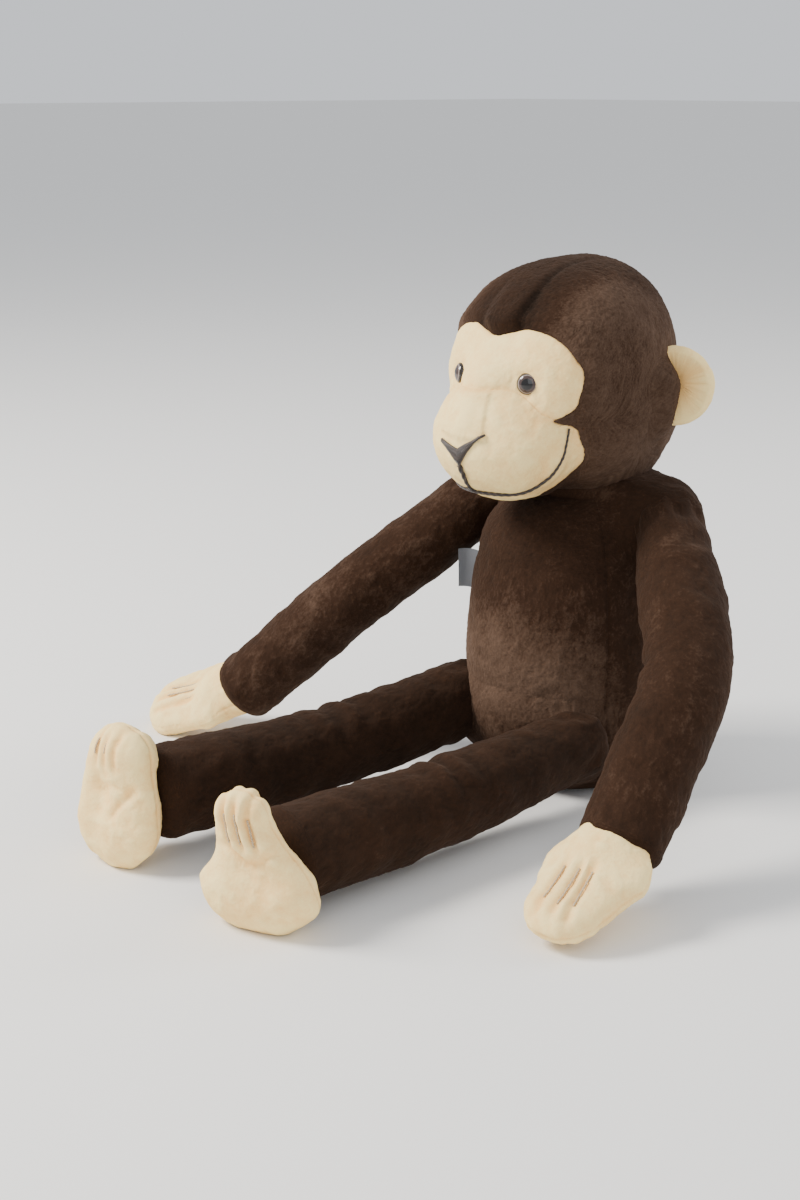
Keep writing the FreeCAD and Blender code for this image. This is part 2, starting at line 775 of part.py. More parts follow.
def limb_fill(name, start_radius, end_radius, length):
    inset = "skin - slack"
    return revolved(
        name,
        [
            ("0", f"-({start_radius} - {inset})", None),
            (f"{start_radius} - {inset}", "0", f"{start_radius} - {inset}"),
            (f"{end_radius} - {inset}", length, None),
            ("0", f"{length} + {end_radius} - {inset}", f"{end_radius} - {inset}"),
        ],
    )


def limb_half(label, fill_label, start, end, start_radius, end_radius, start_room, end_room):
    """Sleeve and fill between two joints, kept back from each bend by its room."""
    along = (end - start).normalize()
    length = f"{(end - start).Length} - {start_room} - {end_room}"
    place = Placement(start + along * number(start_room), Rotation(UP, along))
    for name, made in (
        (label, sleeve(label + "_tube", start_radius, end_radius, length)),
        (fill_label, limb_fill(fill_label + "_solid", start_radius, end_radius, length)),
    ):
        made.Placement = place
        keep(made, name)


def build_limbs():
    for side, sign in SIDES.items():
        top, elbow, wrist = shoulder(sign), point(f"{side}_elbow"), point(f"{side}_wrist")
        limb_half(
            f"{side}_upper_sleeve", f"{side}_upper_arm_stuffing", top, elbow,
            "arm_radius", "elbow_radius", "0", "elbow_room",
        )
        limb_half(
            f"{side}_lower_sleeve", f"{side}_forearm_stuffing", elbow, wrist,
            "elbow_radius", "wrist_radius", "elbow_room", "0",
        )
        inward = Vector(-sign, 0, 0.2).normalize()
        arm_ring = seam_ring(f"{side}_arm_ring", "arm_radius", "socket_room", top, inward, "20")
        keep(arm_ring, f"{side}_shoulder_seam")
        root, bend, ankle = hip(sign), knee(side, sign), point(f"{side}_ankle")
        limb_half(
            f"{side}_thigh_sleeve", f"{side}_thigh_stuffing", root, bend,
            "leg_root_radius", "knee_radius", "0", "knee_room",
        )
        limb_half(
            f"{side}_shin_sleeve", f"{side}_shin_stuffing", bend, ankle,
            "knee_radius", "ankle_radius", "knee_room", "0",
        )
        inward = Vector(-sign * 0.7, 0.7, 0.3).normalize()
        leg_ring = seam_ring(f"{side}_leg_ring", "leg_root_radius", "hip_room", root, inward, "30")
        keep(leg_ring, f"{side}_hip_seam")


def write_parts():
    doc.recompute()
    failed = [f"{o.Name} {o.State}" for o in doc.Objects if {"Invalid", "Error"} & set(o.State)]
    if failed:
        raise RuntimeError("objects that did not build: " + ", ".join(failed))
    os.makedirs("parts", exist_ok=True)
    for piece in pieces:
        shape = piece.Shape
        if shape.isNull() or not shape.isValid() or not shape.Solids:
            raise RuntimeError(f"{piece.Label} has no valid solid")
        shape.exportStep(os.path.join("parts", piece.Label + ".step"))
        print(f"{piece.Label:26s} solids {len(shape.Solids)}  volume {shape.Volume / 1000:8.2f} cm3")


build_torso()
build_label()
build_head()
build_eyes()
build_ears()
build_hands()
build_feet()
build_limbs()
write_parts()
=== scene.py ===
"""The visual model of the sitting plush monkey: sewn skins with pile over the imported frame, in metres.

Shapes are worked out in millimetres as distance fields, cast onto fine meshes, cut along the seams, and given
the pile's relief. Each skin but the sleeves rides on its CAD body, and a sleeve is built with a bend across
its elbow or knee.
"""

import json
import math

import bpy
import numpy as np
from mathutils import Matrix, Vector


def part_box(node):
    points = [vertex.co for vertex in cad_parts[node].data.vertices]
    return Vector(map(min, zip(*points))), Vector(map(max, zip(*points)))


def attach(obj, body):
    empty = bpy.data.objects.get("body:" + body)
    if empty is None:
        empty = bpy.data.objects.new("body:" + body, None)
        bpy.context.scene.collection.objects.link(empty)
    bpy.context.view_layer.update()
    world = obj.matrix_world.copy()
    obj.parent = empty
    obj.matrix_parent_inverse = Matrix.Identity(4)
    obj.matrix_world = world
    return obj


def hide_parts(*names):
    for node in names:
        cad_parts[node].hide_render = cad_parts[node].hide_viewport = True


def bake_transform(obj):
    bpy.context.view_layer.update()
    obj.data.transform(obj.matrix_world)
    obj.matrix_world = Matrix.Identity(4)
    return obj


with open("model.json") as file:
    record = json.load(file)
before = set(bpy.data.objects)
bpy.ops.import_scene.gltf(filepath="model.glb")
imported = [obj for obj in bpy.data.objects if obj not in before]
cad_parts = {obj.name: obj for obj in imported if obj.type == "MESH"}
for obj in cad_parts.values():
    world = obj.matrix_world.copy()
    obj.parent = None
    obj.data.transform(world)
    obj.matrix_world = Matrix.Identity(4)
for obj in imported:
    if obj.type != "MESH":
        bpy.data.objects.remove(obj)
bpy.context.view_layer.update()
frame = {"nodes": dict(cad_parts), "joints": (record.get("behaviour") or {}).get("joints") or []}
JOINTS = {j["name"]: j for j in frame["joints"]}
SIDES = {"left": 1, "right": -1}
MM = 0.001
DOWN = np.array([0.0, 0.0, -1.0])


def at(joint):
    """The point of a joint, in mm."""
    return np.array(JOINTS[joint]["pos_m"]) / MM


def axis_of(joint):
    return np.array(JOINTS[joint]["axis"])


def cad_box(node):
    low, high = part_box(node)
    return np.array(low) / MM, np.array(high) / MM


def unit(v):
    v = np.asarray(v, float)
    return v / np.maximum(np.linalg.norm(v, axis=-1, keepdims=True), 1e-9)


def smooth(x, low, high):
    """0 below low, 1 above high, and a soft step between."""
    t = np.clip((x - low) / (high - low), 0, 1)
    return t * t * (3 - 2 * t)


def bump(x, width):
    return np.exp(-((x / width) ** 2))


# ---- noise


def lattice(cell, seed):
    n = cell[..., 0] * 374761393 + cell[..., 1] * 668265263 + cell[..., 2] * 1440662683 + seed * 974634777
    n = ((n ^ (n >> 13)) * 1274126177) & 0xFFFFFFFF
    n = ((n ^ (n >> 15)) * 2246822519) & 0xFFFFFFFF
    return ((n ^ (n >> 16)) & 0xFFFF) / 32767.5 - 1


def noise(points, size, seed=0):
    """Smooth noise from -1 to 1 with features about size across."""
    turn = Matrix.Rotation(0.7 + seed, 3, Vector((0.3, 0.5, 0.8)))
    q = points @ np.array(turn) / size + seed * 13.7
    cell = np.floor(q).astype(np.int64)
    f = q - cell
    f = f * f * f * (f * (f * 6 - 15) + 10)
    total = 0
    for corner in np.ndindex(2, 2, 2):
        weight = np.prod(np.where(corner, f, 1 - f), axis=1)
        total = total + weight * lattice(cell + np.array(corner), seed)
    return total


def combed(points, nap, stretch):
    """Points squeezed along the nap, so that noise on them draws locks that lie along it."""
    along = np.sum(points * nap, axis=1, keepdims=True)
    return points - nap * along * (1 - 1 / stretch)


# ---- distance fields, in mm


def ball(p, centre, radius, scale=(1, 1, 1)):
    q = (p - np.array(centre, float)) / np.array(scale, float)
    return (np.linalg.norm(q, axis=1) - radius) * min(scale)


def rod(p, a, b, ra, rb):
    """A rod with round ends whose radius goes from ra to rb."""
    a, b = np.array(a, float), np.array(b, float)
    t = np.clip((p - a) @ (b - a) / ((b - a) @ (b - a)), 0, 1)
    return np.linalg.norm(p - a - t[:, None] * (b - a), axis=1) - (ra + (rb - ra) * t)


def blend(a, b, k):
    """Both fields joined with a fillet about k wide."""
    w = np.clip(0.5 + 0.5 * (b - a) / k, 0, 1)
    return b * (1 - w) + a * w - k * w * (1 - w)


def cut(a, b, k):
    return -blend(-a, b, k)


# ---- meshes as numpy arrays


def sphere_grid(n):
    """Directions and triangles of a cube blown up to a sphere, n cells along each edge."""
    t = np.tan(np.linspace(-1, 1, n + 1) * math.pi / 4)
    u, v = np.meshgrid(t, t, indexing="ij")
    one = np.ones_like(u)
    faces = [(one, u, v), (-one, v, u), (v, one, u), (u, -one, v), (u, v, one), (v, u, -one)]
    points = np.concatenate([np.stack(f, -1).reshape(-1, 3) for f in faces])
    i = np.arange(n * (n + 1)).reshape(n, n + 1)[:, :-1].ravel()
    quad = np.stack([i, i + n + 1, i + n + 2, i + 1], 1)
    size = (n + 1) ** 2
    quads = np.concatenate([quad + k * size for k in range(6)])
    points = unit(points)
    _, first, back = np.unique(np.round(points, 6), axis=0, return_index=True, return_inverse=True)
    quads = back.ravel()[quads]
    return points[first], np.concatenate([quads[:, [0, 1, 2]], quads[:, [0, 2, 3]]])


def ring_tris(count, rings, capped=True):
    """Triangles of a tube of count rings of points, with flat fans over its ends."""
    i, k = np.meshgrid(np.arange(count - 1), np.arange(rings), indexing="ij")
    a, b = i * rings + k, i * rings + (k + 1) % rings
    c, d = a + rings, b + rings
    tris = [np.stack([a, b, d, a, d, c], -1).reshape(-1, 3)]
    if capped:
        j = np.arange(1, rings - 1)
        last = (count - 1) * rings
        tris += [np.stack([j * 0, j + 1, j], 1), np.stack([j * 0, j, j + 1], 1) + last]
    return np.concatenate(tris)


def cast(field, centre, directions, reach=150, steps=20):
    """Where each ray from centre leaves the field's solid."""
    low, high = np.zeros(len(directions)), np.full(len(directions), float(reach))
    for _ in range(steps):
        middle = (low + high) / 2
        inside = field(centre + directions * middle[:, None]) < 0
        low, high = np.where(inside, middle, low), np.where(inside, high, middle)
    return centre + directions * ((low + high) / 2)[:, None]


def shrunk(field, centre, cells, reach=150):
    """A closed mesh on the surface of a field: its points, triangles and normals."""
    directions, tris = sphere_grid(cells)
    points = cast(field, centre, directions, reach)
    return points, tris, normals(points, tris)


def normals(points, tris):
    a, b, c = (points[tris[:, i], :3] for i in range(3))
    face = np.cross(b - a, c - a)
    out = np.zeros((len(points), 3))
    for i in range(3):
        for k in range(3):
            out[:, k] += np.bincount(tris[:, i], face[:, k], len(points))
    return unit(out)


def lifted(points, facing, height, lowest=0.35):
    """Points moved out by height along their normals, but not through the floor."""
    moved = points + facing * height[:, None]
    moved[:, 2] = np.maximum(moved[:, 2], lowest)
    return moved


def clip(points, tris, keep, *extras):
    """The part of a mesh where keep is above 0, cut cleanly. extras are arrays that go with the points."""
    inside = keep >= 0
    count = inside[tris].sum(1)
    table = np.column_stack([points, keep] + [np.asarray(e, float) for e in extras])
    parts, starts, ends = [tris[count == 3]], [], []
    made = len(points)
    for number, odd_in in ((1, True), (2, False)):
        some = tris[count == number]
        odd = np.argmax(inside[some] == odd_in, axis=1)
        rows = np.arange(len(some))
        a, b, c = some[rows, odd], some[rows, (odd + 1) % 3], some[rows, (odd + 2) % 3]
        ab, ac = made + np.arange(len(some)), made + len(some) + np.arange(len(some))
        made += 2 * len(some)
        starts += [a, a]
        ends += [b, c]
        if odd_in:
            parts.append(np.stack([a, ab, ac], 1))
        else:
            parts += [np.stack([ab, b, c], 1), np.stack([ab, c, ac], 1)]
    start, end = np.concatenate(starts), np.concatenate(ends)
    low, high = np.minimum(start, end), np.maximum(start, end)
    _, first, back = np.unique(low * (made + 1) + high, return_index=True, return_inverse=True)
    low, high = low[first], high[first]
    share = np.clip(keep[low] / (keep[low] - keep[high] + 1e-12), 0.02, 0.98)[:, None]
    fresh = table[low] * (1 - share) + table[high] * share
    table = np.concatenate([table, fresh])
    whole = np.concatenate(parts)
    new = whole >= len(points)
    whole[new] = len(points) + back.ravel()[whole[new] - len(points)]
    used, whole = np.unique(whole, return_inverse=True)
    table, whole = table[used], whole.reshape(-1, 3)
    out = [table[:, :3], whole]
    place = points.shape[1] + 1
    for extra in extras:
        wide = 1 if np.ndim(extra) == 1 else np.shape(extra)[1]
        part = table[:, place : place + wide]
        out.append(part[:, 0] if np.ndim(extra) == 1 else part)
        place += wide
    return out


def hem(points, tris, facing, depth, *extras):
    """Turns the cut edge in by depth, as a seam allowance."""
    edges = np.concatenate([tris[:, [0, 1]], tris[:, [1, 2]], tris[:, [2, 0]]])
    key = np.sort(edges, axis=1)
    _, where, count = np.unique(key[:, 0] * len(points) + key[:, 1], return_index=True, return_counts=True)
    rim = edges[where[count == 1]]
    ids, local = np.unique(rim, return_inverse=True)
    local = local.reshape(-1, 2) + len(points)
    moved = points[ids] - facing[ids] * depth
    a, b, c, d = rim[:, 0], rim[:, 1], local[:, 1], local[:, 0]
    tris = np.concatenate([tris, np.stack([b, a, d], 1), np.stack([b, d, c], 1)])
    return [np.concatenate([points, moved]), tris] + [np.concatenate([e, e[ids]]) for e in extras]


def piece(name, points, tris, look, body, nodes, relief):
    """Makes the mesh object, in metres, hides the CAD nodes it stands for and puts it on its body if it has
    one. look is a material and a slot name, and the slot name is not used.
    """
    material, slot = look
    mesh = bpy.data.meshes.new(name)
    mesh.vertices.add(len(points))
    mesh.vertices.foreach_set("co", (points * MM).astype(np.float32).ravel())
    mesh.loops.add(3 * len(tris))
    mesh.loops.foreach_set("vertex_index", tris.astype(np.int32).ravel())
    mesh.polygons.add(len(tris))
    mesh.polygons.foreach_set("loop_start", np.arange(0, 3 * len(tris), 3, dtype=np.int32))
    mesh.update(calc_edges=True)
    mesh.polygons.foreach_set("use_smooth", np.ones(len(tris), bool))
    layer = mesh.attributes.new("relief", "FLOAT", "POINT")
    layer.data.foreach_set("value", np.asarray(relief, np.float32))
    mesh.validate()
    obj = bpy.data.objects.new(name, mesh)
    bpy.context.collection.objects.link(obj)
    mesh.materials.append(material)
    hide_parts(*nodes)
    if body:
        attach(obj, body)
    return obj


def panel(name, shape, keep, depth, look, body, nodes):
    """One cloth panel: the part of a shape where keep is above 0, with its edge turned in by depth."""
    points, tris, facing, share = clip(shape[0], shape[1], keep, *shape[2:])
    points, tris, share = hem(points, tris, facing, depth, share)
    return piece(name, points, tris, look, body, nodes, share)


# ---- materials


def new_material(name):
    material = bpy.data.materials.new(name)
    material.use_nodes = True
    tree = material.node_tree
    return material, tree, tree.nodes["Principled BSDF"]


def add(tree, kind, inputs=(), **settings):
    node = tree.nodes.new(kind)
    for key, value in settings.items():
        setattr(node, key, value)
    for key, value in dict(inputs).items():
        if isinstance(value, bpy.types.NodeSocket):
            tree.links.new(value, node.inputs[key])
        else:
            node.inputs[key].default_value = value
    return node


def maths(tree, operation, *values, clamp=False):
    node = add(tree, "ShaderNodeMath", dict(enumerate(values)), operation=operation, use_clamp=clamp)
    return node.outputs[0]


def dress(shader, **values):
    """Sets inputs of the shader by name, with _ for a space."""
    for name, value in values.items():
        shader.inputs[name.replace("_", " ")].default_value = value


def ramp(tree, value, stops):
    node = add(tree, "ShaderNodeValToRGB", {"Fac": value})
    elements = node.color_ramp.elements
    while len(elements) < len(stops):
        elements.new(0.5)
    for element, (place, colour) in zip(elements, stops):
        element.position = place
        element.color = (*colour, 1)
    return node.outputs["Color"]


def cloth(name, colours, mottle, change, fine, sheen, sheen_tint, rough=0.95, bump_depth=0.0004):
    """Pile cloth: colours from root to tip by the relief attribute, which also carries painted shade and
    painted light, mottled as the nap lies.
    """
    material, tree, shader = new_material(name)
    where = add(tree, "ShaderNodeTexCoord").outputs["Object"]
    tip_and_painted_light = add(tree, "ShaderNodeAttribute", attribute_name="relief").outputs["Fac"]
    patch = add(tree, "ShaderNodeTexNoise", {"Vector": where, "Scale": mottle, "Detail": 4, "Roughness": 0.6})
    grain = add(tree, "ShaderNodeTexNoise", {"Vector": where, "Scale": fine, "Detail": 3, "Roughness": 0.7})
    sway = maths(tree, "MULTIPLY_ADD", patch.outputs["Fac"], change, -change / 2)
    speck = maths(tree, "MULTIPLY_ADD", grain.outputs["Fac"], 0.45, -0.225)
    level = maths(tree, "ADD", maths(tree, "ADD", sway, speck), tip_and_painted_light, clamp=True)
    tree.links.new(ramp(tree, level, colours), shader.inputs["Base Color"])
    grains = {"Height": grain.outputs["Fac"], "Distance": bump_depth, "Strength": 0.6}
    tree.links.new(add(tree, "ShaderNodeBump", grains).outputs["Normal"], shader.inputs["Normal"])
    dress(shader, Roughness=rough, Specular_IOR_Level=0.15)
    dress(shader, Sheen_Weight=sheen, Sheen_Roughness=0.45, Sheen_Tint=(*sheen_tint, 1))
    return material


def thread_material(name, dark, light):
    """Thread, lighter along the back of each strand by the relief attribute: painted light on the raised
    plies and painted shade between them.
    """
    material, tree, shader = new_material(name)
    strand = add(tree, "ShaderNodeAttribute", attribute_name="relief").outputs["Fac"]
    colour = ramp(tree, strand, [(0.15, dark), (0.9, light)])
    tree.links.new(colour, shader.inputs["Base Color"])
    dress(shader, Roughness=0.55, Sheen_Weight=0.25)
    return material


def eye_material():
    """A painted pupil and iris under clear gloss, by distance from the middle."""
    material, tree, shader = new_material("eye_plastic")
    ring = add(tree, "ShaderNodeAttribute", attribute_name="relief").outputs["Fac"]
    where = add(tree, "ShaderNodeTexCoord").outputs["Object"]
    fleck = add(tree, "ShaderNodeTexNoise", {"Vector": where, "Scale": 900, "Detail": 2})
    shift = maths(tree, "MULTIPLY_ADD", fleck.outputs["Fac"], 0.08, -0.04)
    outward = maths(tree, "ADD", ring, shift, clamp=True)
    pupil, inner, outer = (0.006, 0.005, 0.005), (0.055, 0.035, 0.03), (0.05, 0.03, 0.028)
    pale, rim = (0.30, 0.25, 0.22), (0.02, 0.015, 0.012)
    stops = [(0.0, pupil), (0.46, pupil), (0.54, inner), (0.72, outer), (0.80, pale), (0.87, rim)]
    tree.links.new(ramp(tree, outward, stops), shader.inputs["Base Color"])
    dress(shader, Roughness=0.16, Specular_IOR_Level=0.25, Coat_Weight=0.6, Coat_Roughness=0.02)
    return material


def plain_cloth(name, dark, light, scale):
    """Woven ribbon or bag cloth: two thread directions as fine waves."""
    material, tree, shader = new_material(name)
    where = add(tree, "ShaderNodeTexCoord").outputs["Object"]
    warp = add(tree, "ShaderNodeTexWave", {"Vector": where, "Scale": scale}, bands_direction="Z")
    weft = add(tree, "ShaderNodeTexWave", {"Vector": where, "Scale": scale}, bands_direction="X")
    weave = maths(tree, "MULTIPLY", warp.outputs["Fac"], weft.outputs["Fac"])
    tree.links.new(ramp(tree, weave, [(0.1, dark), (0.9, light)]), shader.inputs["Base Color"])
    lift = add(tree, "ShaderNodeBump", {"Height": weave, "Distance": 0.0003})
    tree.links.new(lift.outputs["Normal"], shader.inputs["Normal"])
    dress(shader, Roughness=0.8)
    return material


# the brown ramp is warm at its dark end and greyer at its light end: partly the cooler pile tips, partly a
# painted sheen where the pile is painted lit
BROWN_TONES_AND_PAINTED_SHEEN = [(0.0, (0.009, 0.0040, 0.0016)), (0.45, (0.027, 0.0118, 0.0055)), (1.0, (0.104, 0.063, 0.042))]
CREAM_TONES = [(0.0, (0.54, 0.28, 0.09)), (0.35, (0.90, 0.55, 0.20)), (0.85, (1.0, 0.765, 0.345))]
FIBRE_TONES = [(0.0, (0.6, 0.6, 0.58)), (1.0, (0.9, 0.9, 0.88))]
brown_plush = cloth("brown_plush", BROWN_TONES_AND_PAINTED_SHEEN, 38, 0.40, 1100, 0.06, (0.85, 0.52, 0.34))
cream_velour = cloth("cream_velour", CREAM_TONES, 45, 0.60, 1400, 0.05, (1.0, 0.90, 0.72), 0.9, 0.00015)
BROWN = brown_plush, "brown_plush"
CREAM = cream_velour, "cream_velour"
FIBRE = cloth("polyester_fibre", FIBRE_TONES, 60, 0.9, 700, 0.3, (1, 1, 1)), "stuffing"
STITCH = thread_material("dark_brown_thread", (0.010, 0.006, 0.005), (0.045, 0.028, 0.022)), "embroidery"
CREAM_THREAD = thread_material("cream_thread", (0.36, 0.26, 0.14), (0.62, 0.50, 0.33)), "cream_thread"
EYE = eye_material(), "eye"
RIBBON = plain_cloth("grey_ribbon", (0.20, 0.21, 0.23), (0.42, 0.43, 0.46), 900), "label"
CANVAS = plain_cloth("bag_cloth", (0.40, 0.37, 0.31), (0.62, 0.58, 0.50), 500), "pellet_bag"


# ---- pile relief


def brown_pile(points, facing, nap, seed):
    """How far the pile stands out at each point, in mm, and the same as a share from root to tip."""
    flow = unit(nap - facing * np.sum(nap * facing, axis=1, keepdims=True))
    middle = combed(points, flow, 1.8)
    fine = noise(middle, 1.25, seed + 1) * 0.6 + noise(middle, 0.7, seed + 2) * 0.4
    locks = noise(combed(points, flow, 1.5), 3.4, seed + 3)
    tufts = noise(points, 7, seed + 4)
    swathe = noise(points, 24, seed + 5) * 0.6 + noise(points, 12, seed + 6) * 0.4
    height = fine * 0.24 + locks * 0.20 + tufts * 0.32
    share = 0.46 + fine * 0.15 + locks * 0.07 + tufts * 0.03 + swathe * 0.09
    return height, share


def cream_nap(points, seed, crumple=1.0):
    fine = noise(points, 0.9, seed) * 0.5 + noise(points, 1.9, seed + 1) * 0.5
    dimples = noise(points, 4.2, seed + 3)
    lumps = noise(points, 9, seed + 2)
    height = fine * 0.15 + dimples * 0.20 * crumple + lumps * 0.38
    return height, 0.74 + fine * 0.12 + dimples * 0.08 * crumple + lumps * 0.06


# ---- head

NECK = at("neck_turn")
CHEEKS = NECK + [0, -9, 52]
CROWN = NECK + [0, 2, 71]
OCCIPUT = NECK + [0, 12, 42]
MUZZLE = NECK + [0, -43, 37]
HEAD_MIDDLE = NECK + [0, -15, 50]
EYE_SPOTS = {side: NECK + [sign * 22, -57.5, 61] for side, sign in SIDES.items()}
GUSSET = 9.0
MOUTH_HALF, MOUTH_RISE, MOUTH_POWER = 38, 34, 5.5
MASK_LOBE = (20.5, 22.8, NECK[2] + 62)


def spread(x, soft):
    """Distance to either side of the middle, rounded off near it."""
    return np.sqrt(x * x + soft * soft)


def skull(p):
    d = blend(ball(p, CHEEKS, 48.5), ball(p, CROWN, 41.3), 14)
    d = blend(d, ball(p, OCCIPUT, 36.5), 14)
    for sign in SIDES.values():
        d = blend(d, ball(p, CROWN + [sign * 17, -24, 6], 24), 20)
        d = blend(d, ball(p, CHEEKS + [sign * 24, -8, -15], 21.5), 14)
        d = blend(d, rod(p, CHEEKS + [sign * 16, 19, -12], CHEEKS + [sign * 15, 15, -27], 24, 21), 12)
        d = blend(d, rod(p, CHEEKS + [sign * 45, 15, 4], CHEEKS + [sign * 43, 15, -10], 9.4, 8.4), 6)
    return d


def face_front(p):
    """The padded cream face behind the muzzle: a lobe round each eye."""
    lobes = [ball(p, CHEEKS + [sign * 14, -22, 8], 30.5, (1, 1, 1.04)) for sign in SIDES.values()]
    d = blend(lobes[0], lobes[1], 12)
    return blend(d, rod(p, CHEEKS + [0, -44, 10], CHEEKS + [0, -54, 2], 10, 9), 12)


def muzzle(p):
    d = ball(p, MUZZLE, 33, (1.06, 1, 1))
    d = blend(d, ball(p, MUZZLE + [0, -9, -5], 27.8), 8)
    for sign in SIDES.values():
        d = blend(d, ball(p, MUZZLE + [sign * 13, -8, -5], 23.5), 8)
    bridge = rod(p, MUZZLE + [0, -15, 19], MUZZLE + [0, -24, 5], 13, 12)
    return blend(d, bridge, 5)


def muzzle_area(p):
    """Above 0 on the muzzle cloth: below the seam from the bridge under the eyes to the mouth."""
    x, y, z = p.T
    seam = NECK[2] + 58.5 - 0.0255 * np.maximum(np.abs(x) - 12, 0) ** 2
    round_side = 38.0 - np.hypot(x, (z - MUZZLE[2]) * 0.76)
    side = blend(round_side, (-28 - y) * 0.7 - 0.45 * spread(z - MUZZLE[2] + 5, 5), 6) + 1.0
    return np.minimum(seam - z, side)


def nose_block(p):
    """1 on the raised strip of the muzzle from the bridge down to the nose."""
    x, y, z = p.T
    fall = np.clip((NECK[2] + 58 - z) / 20, 0, 1)
    inside = smooth(10.5 + 4.0 * fall - np.abs(x), -0.6, 1.0)
    above_nose = smooth(z, NECK[2] + 33 + 0.25 * np.abs(x), NECK[2] + 38)
    return inside * above_nose * smooth(NECK[2] + 59.5 - z, 0, 3) * (y < CHEEKS[1] - 40)


def mouth_height(x):
    """How high the mouth line runs at x: nearly level in the middle and steep at its ends."""
    return NECK[2] + 8.0 + MOUTH_RISE * (np.abs(x) / MOUTH_HALF) ** MOUTH_POWER


def chin_side(p):
    """Above 0 below the mouth line."""
    x = p[:, 0]
    slope = MOUTH_RISE * MOUTH_POWER / MOUTH_HALF * (np.abs(x) / MOUTH_HALF) ** (MOUTH_POWER - 1)
    return (mouth_height(x) - p[:, 2]) / np.sqrt(1 + slope**2)


def head_field(p):
    back = blend(skull(p), face_front(p), 9)
    d = blend(back, muzzle(p), 5)
    front = smooth(-p[:, 1], 38, 46)
    d = d + 1.2 * bump(chin_side(p), 1.6) * front
    d = d - 0.9 * nose_block(p)
    for spot in EYE_SPOTS.values():
        d = d + 2.6 * bump(np.linalg.norm(p - spot, axis=1), 7.5)
    return d


def mask_area(p):
    """Above 0 on the face cloth round the eyes, whose top edge dips a little in the middle."""
    x, y, z = p.T
    side, radius, height = MASK_LOBE
    lobes = radius - np.hypot(spread(x, 8) - side, z - height)
    return np.minimum(lobes, CHEEKS[1] - 12 - y)


def build_head():
    points, tris, facing = shrunk(head_field, HEAD_MIDDLE, 190)
    x, y, z = points.T
    on_muzzle = muzzle_area(points)
    in_mask = mask_area(points) + noise(points, 8, 5) * 0.5
    chin = chin_side(points)

    def skin(name, keep, look, relief, nodes):
        height, share = relief
        shape = (lifted(points, facing, height), tris, facing, share)
        panel(name, shape, keep, 1.4, look, "head", nodes)

    # brown hood, which stands a pile's depth over the cream face and hangs over its top edge as a forelock
    nap = unit(np.stack([x * 0.4, y + 30, -np.abs(z - 190) - 10], 1))
    pile, share = brown_pile(points, facing, nap, 10)
    edge = np.minimum(-in_mask, -on_muzzle)
    high = smooth(z, NECK[2] + 62, NECK[2] + 84)
    overhang = smooth(edge, -0.5, 4.5) * (1.2 + 0.8 * high)
    strip = GUSSET + 3.5 * smooth(-y, 15, 45) * high
    forelock = np.exp(-((x - 2) / 11) ** 4) * smooth(edge, -1, 3) * smooth(30 - edge, 0, 24) * high * 4.0
    seams = bump(np.abs(x) - strip, 2.2) * smooth(z, 175, 200) * (0.22 + 0.9 * (x > 0) * smooth(-y, -12, 40))
    # painted light and shade: the hood is lighter on its sides than on its top and front, and darker along
    # its seams
    share = share - 0.25 + 0.50 * smooth(np.abs(x), 14, 38) - 0.16 * seams
    brown = (pile * smooth(edge, -0.5, 2) + overhang + forelock - 1.1 * seams, share)
    ragged = edge + noise(points, 1.3, 17) * 0.22
    crown = np.minimum(ragged, strip - np.abs(x))
    skin("crown_gusset", crown, BROWN, brown, ["head_crown_gusset"])
    for name, sign in SIDES.items():
        keep = np.minimum(ragged, sign * x - strip)
        skin(f"head_{name}_side", keep, BROWN, brown, [f"head_{name}_panel"])

    # cream face, with the creases that the muzzle seam pulls in
    nap_height, nap_share = cream_nap(points, 30)
    seam = np.where(in_mask > -3, on_muzzle, 9.0)
    crease = bump(seam, 2.0) * (0.35 + 0.65 * smooth(np.abs(x), 12, 24))
    hollow = bump(np.linalg.norm(points - np.stack([np.sign(x) * 27, y * 0 - 62, y * 0 + 192], 1), axis=1), 8)
    socket = sum(bump(np.linalg.norm(points - spot, axis=1) - 4, 3.0) for spot in EYE_SPOTS.values())
    block = nose_block(points)
    side_fold = bump(block - 0.5, 0.33) * smooth(z, NECK[2] + 38, NECK[2] + 42)
    puckers = bump(seam + 3.5, 3.5) * np.cos(x * 0.9 + noise(points, 5, 41) * 3) * smooth(np.abs(x), 8, 20)
    level = bump(z - 203.5 - 0.1 * x, 1.6) * smooth(18 - np.abs(x), 0, 6) * (y < CHEEKS[1] - 40)
    cream_height = nap_height - 0.6 * crease + 0.25 * puckers - 1.2 * hollow - 0.5 * level
    cream_height = cream_height - 1.4 * smooth(edge, -0.5, 0.7)
    # painted shade: the cream is darker in the seam creases, in the level crease across the bridge, round the
    # eyes, under the hood's edge, along the steps at the sides of the nose block and in the hollows below the
    # eyes
    shaded = 0.10 * crease + 0.12 * level + 0.10 * socket + 0.20 * smooth(-edge, 2.5, 0)
    cream_share = nap_share - shaded - 0.12 * side_fold - 0.26 * hollow
    under = (cream_height - 0.5 * smooth(on_muzzle, -1.6, 0), cream_share)
    face = np.minimum(in_mask + 2.5, 0.9 - on_muzzle)
    skin("face_panel", face, CREAM, under, ["face_mask"])
    lip = bump(chin, 1.6)
    # painted shade along the mouth line, where the stitching pulls the cloth in
    mouth = (cream_height - 0.2 * lip, cream_share - 0.20 * lip)
    lower = on_muzzle + 0.6 * (edge > -3)
    skin("muzzle", np.minimum(lower, -chin), CREAM, mouth, ["muzzle_panel"])
    skin("chin", np.minimum(lower, chin), CREAM, mouth, ["chin_panel"])

    stuffing("head_stuffing_fill", head_field, 4.0, HEAD_MIDDLE, 40, 150, "head", "head_stuffing", 50)


